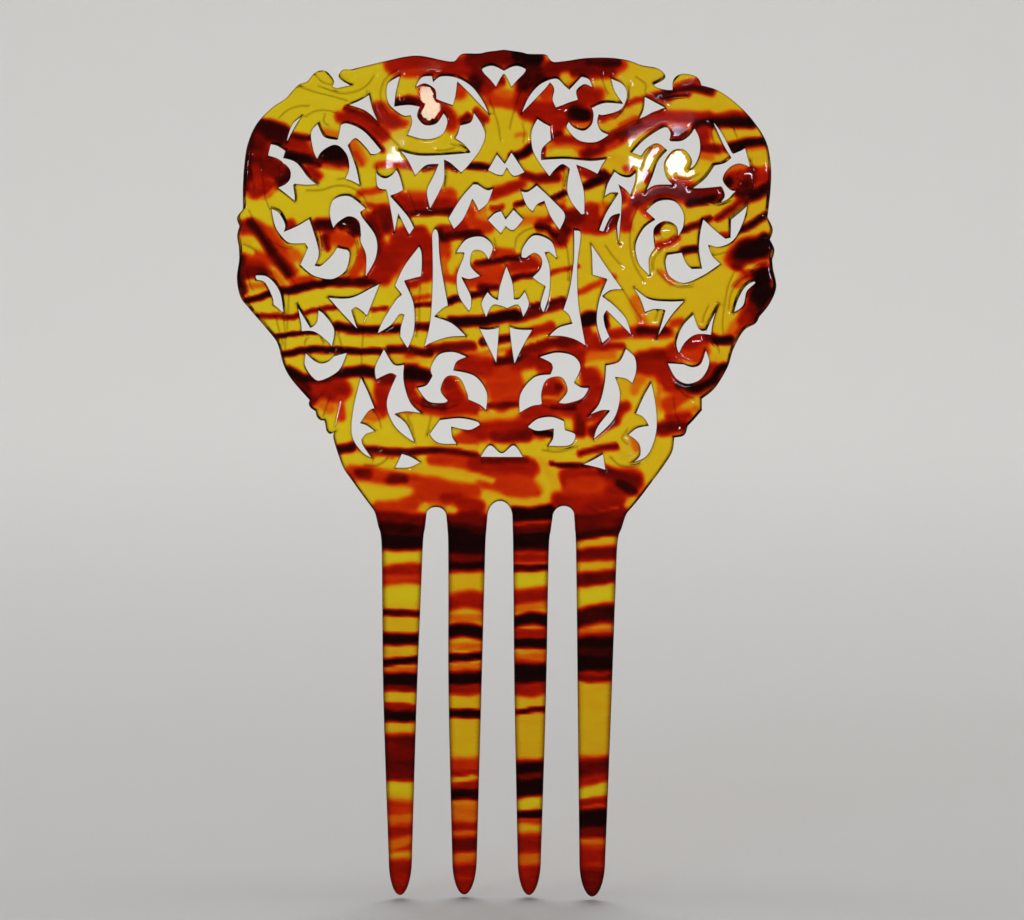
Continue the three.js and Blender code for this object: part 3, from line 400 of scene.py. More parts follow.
VASE_HOLE_RIGHT = [
    [[21.2, 62.6], [21.4, 59]],
    [[21.5, 54.9]],
    [[25, 53.7], [23.1, 48.8], [22.5, 43.3]],
    [[23.9, 37.9]],
    [[25.6, 39.3], [24.6, 41.8], [24.2, 44.5]],
    [[25, 45.9], [27.7, 43]],
    [[30.8, 39.6], [29.5, 43.6], [26.6, 47.2]],
    [[23.9, 49.5], [25.9, 50.8]],
    [[28.6, 50.9], [24.8, 56.8]],
]
C_SCROLL_RIGHT = [
    [[34.3, 70.1], [37.3, 72.3], [41.2, 71.9], [43.6, 68.6], [43.6, 65]],
    [[42.1, 62.7], [41.7, 65.7], [39, 67], [36.4, 65.2]],
    [[36.6, 60.4], [35.2, 58]],
    [[35.3, 53.8], [32.6, 57.2], [31.8, 61.8], [33.8, 65.9]],
    [[36.6, 67.8], [35.3, 69.1]],
]
BAT_WING_RIGHT = [
    [[48.3, 66.5], [51.4, 63.2]],
    [[53.7, 61]],
    [[55, 61.1], [55.1, 63.6]],
    [[55.2, 65.6], [58, 67.4]],
    [[59.8, 68.8], [58.7, 64.5], [56.2, 60.2], [52.7, 58.9]],
    [[49.7, 59.8], [50.6, 57]],
    [[52.7, 54.7], [48.4, 52.4], [43.6, 51.1], [40, 53.4], [39, 56.8]],
    [[39.5, 58.7]],
    [[43.1, 58.9], [44.2, 55.9]],
    [[45.4, 54.6]],
    [[47.9, 54.4], [47.2, 59], [47.5, 63]],
]
COMMA_RIGHT = [
    [[55.5, 42.3], [56.6, 45.7], [58.5, 48.6], [60.7, 49.5]],
    [[61.4, 48.7], [59.2, 47], [58.2, 43.7]],
]
CLAW_RIGHT = [
    [[42.2, 34], [43.6, 36.4], [46.5, 38.3]],
    [[50.2, 37.7], [50.8, 41.2]],
    [[52.2, 45.1], [50.4, 42.3]],
    [[48.8, 39.2], [47.2, 39.5]],
    [[45.8, 43.5], [43, 40.8], [41.5, 36.9]],
]
CRESCENT_RIGHT = [
    [[39.4, 32.1], [41.5, 31.8]],
    [[43.2, 31.5], [45.4, 30.6], [47.4, 31.3]],
    [[48.6, 34.5], [49.7, 31], [47.8, 27.5], [44.3, 26.5], [41.3, 28.4]],
]
NOTCHED_WEDGE_RIGHT = [
    [[31.5, 51.1], [35, 48.2], [39.6, 47.2]],
    [[43.9, 46.9], [40.5, 43.4]],
    [[36.8, 38]],
    [[38.9, 45], [36.5, 45.4]],
    [[34.1, 44.8], [33, 48.2]],
]
INNER_SCROLL_RIGHT = [
    [[4.6, 59.7], [4.9, 62.3], [7.5, 65.4], [11.6, 63.8]],
    [[13, 59.4]],
    [[11.2, 61]],
    [[10.1, 60.9], [11.3, 56.8], [11.2, 50.5]],
    [[9.9, 45.9], [9.2, 48.2]],
    [[10.3, 52.5], [8.8, 53.4]],
    [[7.1, 54.8], [9.1, 57], [9.4, 59.4], [7.7, 60.8]],
    [[5.6, 59.6]],
]
CENTRE_WEDGE_RIGHT = [
    [[1.9, 42.6], [4, 42]],
    [[7.4, 41.9], [5, 37.6]],
    [[3.1, 33.4], [2.4, 38]],
]
LOWER_LEAF_RIGHT = [
    [[29.4, 36.4], [31.6, 34], [32, 30.8]],
    [[31.1, 27.7], [29.6, 28.9]],
    [[26.9, 29.5], [28.1, 25], [26.6, 19.3]],
    [[21.7, 14.5], [22.7, 17.8]],
    [[25.6, 21.5], [23.5, 21.5]],
    [[20.5, 20.4], [23, 23.3], [24.3, 28]],
    [[24.7, 32.6], [27.8, 33.4]],
]
LOWER_SCROLL_RIGHT = [
    [[8.7, 35.1], [13, 36.2], [17, 35.2], [18.7, 32.2]],
    [[17.2, 28.6], [18.8, 27.5]],
    [[20.8, 27.3], [19.2, 24.7], [15.5, 23.5]],
    [[13.4, 23.8], [15.6, 26.8], [14.2, 30], [10.8, 29.5], [9.5, 26.5]],
    [[9.6, 23.5], [7, 22.9]],
    [[4.4, 21.4], [4.6, 26.2], [7.7, 30.2]],
    [[11.6, 30.9], [12, 33.2]],
]
TALL_LEAF_RIGHT = [
    [[35.5, 27.8], [36.6, 22], [36.7, 15.5], [34.5, 10.1]],
    [[30.5, 8.5], [32.6, 10.3], [32.4, 13.3]],
    [[29.9, 15.5], [32, 17]],
    [[34.8, 17.4], [33.6, 19.4]],
    [[31.7, 20.4], [33.5, 24.4]],
]
LOW_EYE_RIGHT = [
    [[6.2, 18.1], [8.6, 20.1], [12, 20.5]],
    [[14.8, 19.4]],
    [[15, 17.3], [17.5, 16], [16.2, 13.4]],
    [[11, 13.4], [12.2, 15.2]],
    [[12.4, 17.5], [8.6, 17]],
]
LOW_WEDGE_RIGHT = [
    [[19.1, 8.8], [21.4, 9.8]],
    [[24, 11.2]],
    [[24.6, 7.2], [22.6, 7.9]],
]

# Piercings on the middle line.
HEART = [
    [[0, 107.5], [-2.1, 108.6], [-3.6, 108.7], [-5.3, 107.8], [-4.8, 106.4], [-3.2, 104.7]],
    [[-1.9, 103], [-0.8, 105.3], [0, 106.3], [0.8, 105.3]],
    [[1.9, 103], [3.2, 104.7], [4.8, 106.4], [5.3, 107.8], [3.6, 108.7], [2.1, 108.6]],
]
UPPER_CROWN = [
    [[-3.7, 81.6]],
    [[-1.5, 85.9]],
    [[0.4, 83.5]],
    [[2, 86.4]],
    [[5.3, 81.2], [2.6, 80.2]],
    [[0.9, 82.4]],
    [[-0.1, 80.4], [-1.4, 80.5]],
]
LOWER_CROWN = [
    [[-3.6, 69.1], [-1.9, 70.9]],
    [[-0.4, 71.5]],
    [[0.7, 69.4]],
    [[2.6, 71.9]],
    [[5, 69.3], [2.6, 66.5]],
    [[0.75, 67.5]],
    [[-0.4, 65.7], [-1.75, 67.1]],
]
SPIRE = [
    [[-3.4, 51.2], [-4.8, 48.2]],
    [[-3.7, 44.8], [-2.3, 47.7], [-0.2, 47.6]],
    [[1.3, 47], [3.25, 47.9], [4.3, 47.5]],
    [[5.1, 44.9], [6.4, 48]],
    [[5.4, 51.4], [4.1, 49.6]],
    [[2.8, 49.5], [2.4, 53.6]],
    [[1, 57.7], [-0.5, 52.5]],
    [[-0.9, 49.2], [-2.3, 50]],
]
CUPID_BOW = [
    [[-4.7, 10.7], [-2.5, 13.7], [0.3, 11.8], [3.1, 13.7]],
    [[5.3, 10.7]],
]

PIERCINGS = [
    HEART, UPPER_CROWN, LOWER_CROWN, SPIRE, CUPID_BOW, PETAL_OUTER_LEFT, PETAL_UPPER_LEFT,
    PETAL_LOWER_LEFT, SHOULDER_WEDGE_LEFT, RIM_SLIT_LEFT, UPPER_SCROLL_LEFT, SIDE_SPIRAL_LEFT,
    LEAF_SLIT_LEFT, FOLD_SLIT_LEFT, TALL_SLIT_LEFT, VASE_HOLE_LEFT, C_SCROLL_LEFT, BAT_WING_LEFT,
    COMMA_LEFT, CLAW_LEFT, CRESCENT_LEFT, NOTCHED_WEDGE_LEFT, INNER_SCROLL_LEFT, CENTRE_WEDGE_LEFT,
    LOWER_LEAF_LEFT, LOWER_SCROLL_LEFT, TALL_LEAF_LEFT, LOW_EYE_LEFT, LOW_WEDGE_LEFT,
    PETAL_OUTER_RIGHT, PETAL_UPPER_RIGHT, PETAL_LOWER_RIGHT, SHOULDER_WEDGE_RIGHT,
    UPPER_SCROLL_RIGHT, SIDE_SPIRAL_RIGHT, LEAF_SLIT_RIGHT, FOLD_SLIT_RIGHT, TALL_SLIT_RIGHT,
    VASE_HOLE_RIGHT, C_SCROLL_RIGHT, BAT_WING_RIGHT, COMMA_RIGHT, CLAW_RIGHT, CRESCENT_RIGHT,
    NOTCHED_WEDGE_RIGHT, INNER_SCROLL_RIGHT, CENTRE_WEDGE_RIGHT, LOWER_LEAF_RIGHT,
    LOWER_SCROLL_RIGHT, TALL_LEAF_RIGHT, LOW_EYE_RIGHT, LOW_WEDGE_RIGHT,
]

# Tines: their left and right edges at these heights.
TINE_LEVELS = [BAND_BOTTOM, -6.5, -10, -22, -45, TINE_END]
TINES = [
    ([-29, -28.2, -27.4, -27, -26.4, -24.7], [-17.1, -17.4, -17.8, -18.1, -18.7, -19.4]),
    ([-12.4, -12.1, -11.9, -11.7, -11.4, -10.2], [-2.9, -3.1, -3.3, -3.5, -3.9, -4.6]),
    ([2.9, 3, 3.1, 3.3, 3.7, 4.7], [12.2, 11.8, 11.4, 11.2, 10.9, 10]),
    ([17.3, 17.5, 17.7, 17.9, 18.2, 18.8], [29.3, 28.3, 27.3, 26.8, 26, 24.7]),
]
SLOT_TOPS = [-1.4, 0.4, -0.9]
SHOULDER_LEFT = [(-36.6, 6.5), (-34.8, 4.1), (-32, 0.5), (-30, -2)]
SHOULDER_RIGHT = [(37.4, 6.5), (35.5, 4.1), (32.7, 0.5), (30.5, -2)]


# ------------------------------------------------------------------ curves
STEP = 0.6                 # spacing of the points on every outline
GROOVE_STEP = 0.4          # spacing of the points on every carved line
TIP_STEPS = 28             # chords in the round tip of a tine
SLOT_STEPS = 18            # chords in the round top of a gap between tines


def through(knots, step=STEP):
    """Points of a smooth curve through the knots, without the last knot."""
    knots = np.array(knots, float)
    last = len(knots) - 1
    points = []
    for i in range(last):
        a, b = knots[max(i - 1, 0)], knots[i]
        c, d = knots[i + 1], knots[min(i + 2, last)]
        count = max(1, math.ceil(np.hypot(*(c - b)) / step))
        for t in np.arange(count) / count:
            u, v = (c - a) / 2, (d - b) / 2
            points.append((2 * b - 2 * c + u + v) * t**3
                          + (3 * c - 3 * b - 2 * u - v) * t**2 + u * t + b)
    return points


def trace(runs, finish):
    """Points along a list of runs; the last run ends at "finish"."""
    points = []
    for i, run in enumerate(runs):
        following = runs[i + 1][0] if i + 1 < len(runs) else finish
        points += through([*run, following])
    return points


def half_ellipse(start, end, level, rise, steps):
    """Points between two points at one height, over the top or round the tip between them."""
    middle, reach = (start + end) / 2, (start - end) / 2
    angles = math.pi * np.arange(1, steps) / steps
    return [np.array((middle + reach * math.cos(a), level + rise * math.sin(a))) for a in angles]


def tine_edge(edge):
    return list(zip(edge, TINE_LEVELS))


def outer_outline():
    """The closed outline of the comb, from the middle of the top to the left and all round."""
    (first_left, _), (_, last_right) = TINES[0], TINES[-1]
    left_side = RIM_LEFT[-1] + SHOULDER_LEFT + tine_edge(first_left)
    points = trace(RIM_LEFT[:-1] + [left_side[:-1]], left_side[-1])
    for number, (left, right) in enumerate(TINES):
        if number > 0:
            points += through(tine_edge(left))
        points.append(np.array((left[-1], TINE_END)))
        points += half_ellipse(left[-1], right[-1], TINE_END, TINE_TIP - TINE_END, TIP_STEPS)
        if number < len(SLOT_TOPS):
            points += through(tine_edge(right)[::-1])
            points.append(np.array((right[0], BAND_BOTTOM)))
            far = TINES[number + 1][0][0]
            rise = SLOT_TOPS[number] - BAND_BOTTOM
            points += half_ellipse(right[0], far, BAND_BOTTOM, rise, SLOT_STEPS)
    right_side = RIM_RIGHT[-1] + SHOULDER_RIGHT + tine_edge(last_right)
    back_up = trace(RIM_RIGHT[:-1] + [right_side[:-1]], right_side[-1])
    return points + [np.array(right_side[-1], float)] + back_up[:0:-1]


# ------------------------------------------------------------------ flat mesh of the sheet
def inside(points, starts, ends):
    """Which points lie in the outline that the edges from starts to ends draw."""
    result = np.zeros(len(points), bool)
    low = np.minimum(starts[:, 1], ends[:, 1])
    high = np.maximum(starts[:, 1], ends[:, 1])
    rows = np.floor(points[:, 1]).astype(int)
    for row in np.unique(rows):
        mine = np.where(rows == row)[0]
        near = (low <= row + 1) & (high >= row)
        a, b = starts[near], ends[near]
        p = points[mine][:, None]
        crosses = (a[:, 1] > p[..., 1]) != (b[:, 1] > p[..., 1])
        rise = np.where(b[:, 1] == a[:, 1], 1.0, b[:, 1] - a[:, 1])
        at = a[:, 0] + (p[..., 1] - a[:, 1]) / rise * (b[:, 0] - a[:, 0])
        result[mine] = (crosses & (at > p[..., 0])).sum(1) % 2 == 1
    return result


def tree_of(points):
    """A search tree over flat points."""
    tree = KDTree(len(points))
    for i, point in enumerate(points):
        tree.insert((point[0], point[1], 0), i)
    tree.balance()
    return tree


def distances(points, tree):
    """How far each point is from the nearest one in the tree."""
    return np.array([tree.find((p[0], p[1], 0))[2] for p in points])


def divided(starts, ends, spacing):
    """Points along the edges, no further apart than the spacing."""
    points = []
    for a, b in zip(starts, ends):
        count = max(1, math.ceil(np.hypot(*(b - a)) / spacing))
        points += [a + (b - a) * i / count for i in range(count)]
    return np.array(points)


CREST_ROUNDING = 0.5       # radius of the softened edges on the tracery
TINE_ROUNDING = 0.8        # and on the tines
ROUNDING_CHANGE = 25.0     # height below the band over which one becomes the other


def edge_radius(up):
    """Radius of the softened edges: small on the tracery, larger on the tines."""
    share = np.clip((BAND_BOTTOM - np.asarray(up)) / ROUNDING_CHANGE, 0, 1)
    return CREST_ROUNDING + (TINE_ROUNDING - CREST_ROUNDING) * share


GRID = 0.66                # spacing of the points inside the sheet
GROOVE_WIDTH = 0.42        # half width of the carved lines
EDGE_SPACING = 0.1         # spacing of the points that distances to the edges are taken from
EDGE_ROWS = (0.3, 1.0)     # rows of points beside the edges, in edge radii
GROOVE_ROWS = (-1.0, -0.5, 0.0, 0.5, 1.0)   # rows of points along a carved line, in half widths
ROW_CLEARANCE = 0.86       # least share of its own distance that a row keeps from other edges
GROOVE_CLEARANCE = 0.2     # least distance from an edge to a point of a carved line
GRID_CLEARANCE = 1.3       # least distance from an edge to the grid, in edge radii
GRID_GROOVE_CLEARANCE = 1.5    # least distance from a carved line to the grid, in half widths
MERGE_DISTANCE = 1e-4
LEAST_AREA = 1e-9


def flat_mesh(rings, grooves):
    """Vertices and triangles of the pierced sheet, fine along its edges and carved lines."""
    rings = [np.array(ring, float) for ring in rings]
    starts = np.concatenate(rings)
    ends = np.concatenate([np.roll(ring, -1, 0) for ring in rings])
    edge_tree = tree_of(divided(starts, ends, EDGE_SPACING))
    extra = []
    for ring in rings:
        ahead = np.roll(ring, -1, 0) - np.roll(ring, 1, 0)
        normal = np.stack([-ahead[:, 1], ahead[:, 0]], 1)
        normal /= np.hypot(*normal.T)[:, None]
        radius = edge_radius(ring[:, 1])[:, None]
        for share in EDGE_ROWS:
            for side in (-1, 1):
                moved = ring + side * share * radius * normal
                wanted = share * radius[:, 0]
                keep = distances(moved, edge_tree) > ROW_CLEARANCE * wanted
                extra.append(moved[keep])
    for line in grooves:
        line = np.array(line)
        ahead = np.gradient(line, axis=0)
        normal = np.stack([-ahead[:, 1], ahead[:, 0]], 1)
        normal /= np.hypot(*normal.T)[:, None]
        for side in GROOVE_ROWS:
            moved = line + side * GROOVE_WIDTH * normal
            extra.append(moved[distances(moved, edge_tree) > GROOVE_CLEARANCE])
    low, high = starts.min(0), starts.max(0)
    rows = np.arange(low[1], high[1], GRID * math.sqrt(3) / 2)
    columns = np.arange(low[0], high[0], GRID)
    grid = np.array([(x + (i % 2) * GRID / 2, y) for i, y in enumerate(rows) for x in columns])
    grid = grid[inside(grid, starts, ends)]
    grid = grid[distances(grid, edge_tree) > GRID_CLEARANCE * edge_radius(grid[:, 1])]
    groove_tree = tree_of(np.concatenate(grooves))
    grid = grid[distances(grid, groove_tree) > GRID_GROOVE_CLEARANCE * GROOVE_WIDTH]
    extra = np.concatenate(extra)
    extra = extra[inside(extra, starts, ends)]
    points = np.concatenate([starts, extra, grid])
    count = [len(ring) for ring in rings]
    first = np.cumsum([0] + count[:-1])
    edges = [(int(f + i), int(f + (i + 1) % n)) for f, n in zip(first, count) for i in range(n)]
    out = delaunay_2d_cdt([Vector(p) for p in points], edges, [], 0, MERGE_DISTANCE)
    points = np.array([tuple(p) for p in out[0]])
    triangles = np.array([tuple(f) for f in out[2]])
    triangles = triangles[inside(points[triangles].mean(1), starts, ends)]
    a, b, c = (points[triangles[:, i]] for i in range(3))
    area = (b[:, 0] - a[:, 0]) * (c[:, 1] - a[:, 1]) - (c[:, 0] - a[:, 0]) * (b[:, 1] - a[:, 1])
    triangles[area < 0] = triangles[area < 0][:, ::-1]
    return points, triangles[np.abs(area) > LEAST_AREA], edge_tree


# ------------------------------------------------------------------ flat sheet to space
def half_thickness(up):
    """Half the thickness of the sheet, which thins down the tines."""
    share = np.clip((TAPER_START - up) / (TAPER_START - TINE_TIP), 0, 1)
    return THICKNESS / 2 + (TIP_HALF_THICKNESS - THICKNESS / 2) * share


def place(across, up, depth):
    """Bends the flat sheet: depth is from its middle, positive on the back.  In millimetres."""
    angle = across / OUTLINE_RADIUS
    x = (BEND_RADIUS + depth) * np.sin(angle)
    flat_y = (BEND_RADIUS + depth) * np.cos(angle) - BEND_RADIUS
    turn = np.maximum(BAND_BOTTOM - up, 0) / TINE_CURVE_RADIUS
    lean = LEAN - turn
    straight = np.maximum(up, BAND_BOTTOM)
    y = straight * math.sin(LEAN) - TINE_CURVE_RADIUS * (np.cos(lean) - math.cos(LEAN))
    z = straight * math.cos(LEAN) - TINE_CURVE_RADIUS * (math.sin(LEAN) - np.sin(lean))
    return np.stack([x, y + flat_y * np.cos(lean), z - flat_y * np.sin(lean)], 1)


def bosses(points):
    """How far the front lies lower around each rounded boss, which keeps its middle full."""
    depth = np.zeros(len(points))
    for x, y, radius in BOSSES:
        away = np.hypot(*(points - (x, y)).T)
        outside = np.clip(1 - (away - radius) / BOSS_RUN_OUT, 0, 1)
        hollow = np.where(away < radius, (away / radius) ** 2, outside**2 * (3 - 2 * outside))
        depth = np.maximum(depth, BOSS_DEPTH * hollow)
    return depth


def ripple(across, up, waves):
    """Sum of waves over the sheet, each with a size, a rate across, a rate up and a phase."""
    return sum(size * np.sin(a * across + b * up + phase) for size, a, b, phase in waves)


def waviness(across, up):
    """Slight unevenness left by hand polishing, which breaks up the reflections."""
    highest = sum(size for size, *_ in POLISH_WAVES)
    return WAVE_DEPTH * (highest + ripple(across, up, POLISH_WAVES))


def on_vertices(mesh, name, kind, field, values):
    """Stores a value for each vertex, for the material to read."""
    mesh.attributes.new(name, kind, "POINT").data.foreach_set(field, values.astype(np.float32))


SHARP_ANGLE = math.radians(38)      # edges that turn further are drawn sharp
GROOVE_FALL = 1.5                   # power by which a carved line falls to its bottom
GROOVE_PAINTED_SHADE = 0.75                 # how dark the painted shade in the carved lines is, from 0 to 1
CREST_PAINTED_SHADE_FADE = 0.7               # power by which the painted edge shade of the crest fades inwards
TINE_PAINTED_SHADE_FADE = 1.6                # how steeply the painted edge shade of the tines fades inwards
PAINTED_SHADE_CHANGE = 6.0                   # height at the band over which the crest's painted edge shade becomes the tines'
MM_PER_METRE = 1000


def build_comb():
    """The comb in one closed piece: a front and a back skin of the flat mesh, joined at its rims."""
    rings = [outer_outline()] + [trace(runs, runs[0][0]) for runs in PIERCINGS]
    grooves = [np.array(through(line, GROOVE_STEP)) for line in GROOVES]
    points, triangles, edge_tree = flat_mesh(rings, grooves)
    across, up = points.T
    away = distances(points, edge_tree)
    radius = edge_radius(up)
    rise = np.clip(radius - away, 0, None)
    drop = radius - np.sqrt(np.maximum(radius**2 - rise**2, 0))
    back = half_thickness(up) - drop
    share = distances(points, tree_of(np.concatenate(grooves))) / GROOVE_WIDTH
    cut = np.clip(1 - share**2, 0, 1) ** GROOVE_FALL
    front = back - GROOVE_DEPTH * cut - bosses(points) - waviness(across, up)
    vertices = np.concatenate([place(across, up, -front), place(across, up, back)]) / MM_PER_METRE
    vertices = np.clip(vertices, np.array(cad_low), np.array(cad_high))
    count = len(points)
    sides = np.concatenate([triangles[:, [i, (i + 1) % 3]] for i in range(3)])
    known = {tuple(side) for side in sides.tolist()}
    rim = [side for side in known if side[::-1] not in known]
    faces = triangles.tolist() + (triangles[:, ::-1] + count).tolist()
    faces += [(a, a + count, b + count, b) for a, b in sorted(rim)]
    mesh = bpy.data.meshes.new("comb")
    mesh.from_pydata(vertices.tolist(), [], faces)
    mesh.polygons.foreach_set("use_smooth", [True] * len(mesh.polygons))
    mesh.set_sharp_from_angle(angle=SHARP_ANGLE)
    # Painted shade: the cut edges, walls and carved lines are stored darker in the 'line' attribute, which
    # the material multiplies into the colour.
    on_tine = np.clip((BAND_BOTTOM + PAINTED_SHADE_CHANGE / 2 - up) / PAINTED_SHADE_CHANGE, 0, 1)
    crest_painted_shade = CREST_EDGE_PAINTED_SHADE * np.clip(1 - away / radius, 0, 1) ** CREST_PAINTED_SHADE_FADE
    tine_edge = np.clip(TINE_PAINTED_SHADE_FADE * (1 - away / TINE_PAINTED_SHADE_WIDTH), 0, 1)
    edge = crest_painted_shade + (tine_edge - crest_painted_shade) * on_tine
    line = np.concatenate([np.maximum(GROOVE_PAINTED_SHADE * cut, edge), edge])
    sheet = np.stack([across, up, np.zeros(count)], 1)
    on_vertices(mesh, "sheet", "FLOAT_VECTOR", "vector", np.tile(sheet.ravel(), 2))
    on_vertices(mesh, "tone", "FLOAT", "value", np.tile(paint(across, up), 2))
    on_vertices(mesh, "line", "FLOAT", "value", line)
    comb = bpy.data.objects.new("comb", mesh)
    bpy.context.scene.collection.objects.link(comb)
    print("comb:", len(mesh.vertices), "vertices", len(mesh.polygons), "faces")
    return comb


# ------------------------------------------------------------------ carved lines and bosses
GROOVE_DEPTH = 0.3
BOSS_DEPTH = 0.3
BOSS_RUN_OUT = 1.2         # how far outside a boss the front is worked down
WAVE_DEPTH = 0.0008
# Waves over the sheet: size, rate across, rate up and phase.
POLISH_WAVES = [(1.0, 1.1, 0.5, 0.0), (1.0, -0.7, 0.9, 2.0), (0.7, 0.6, 1.9, 1.0)]
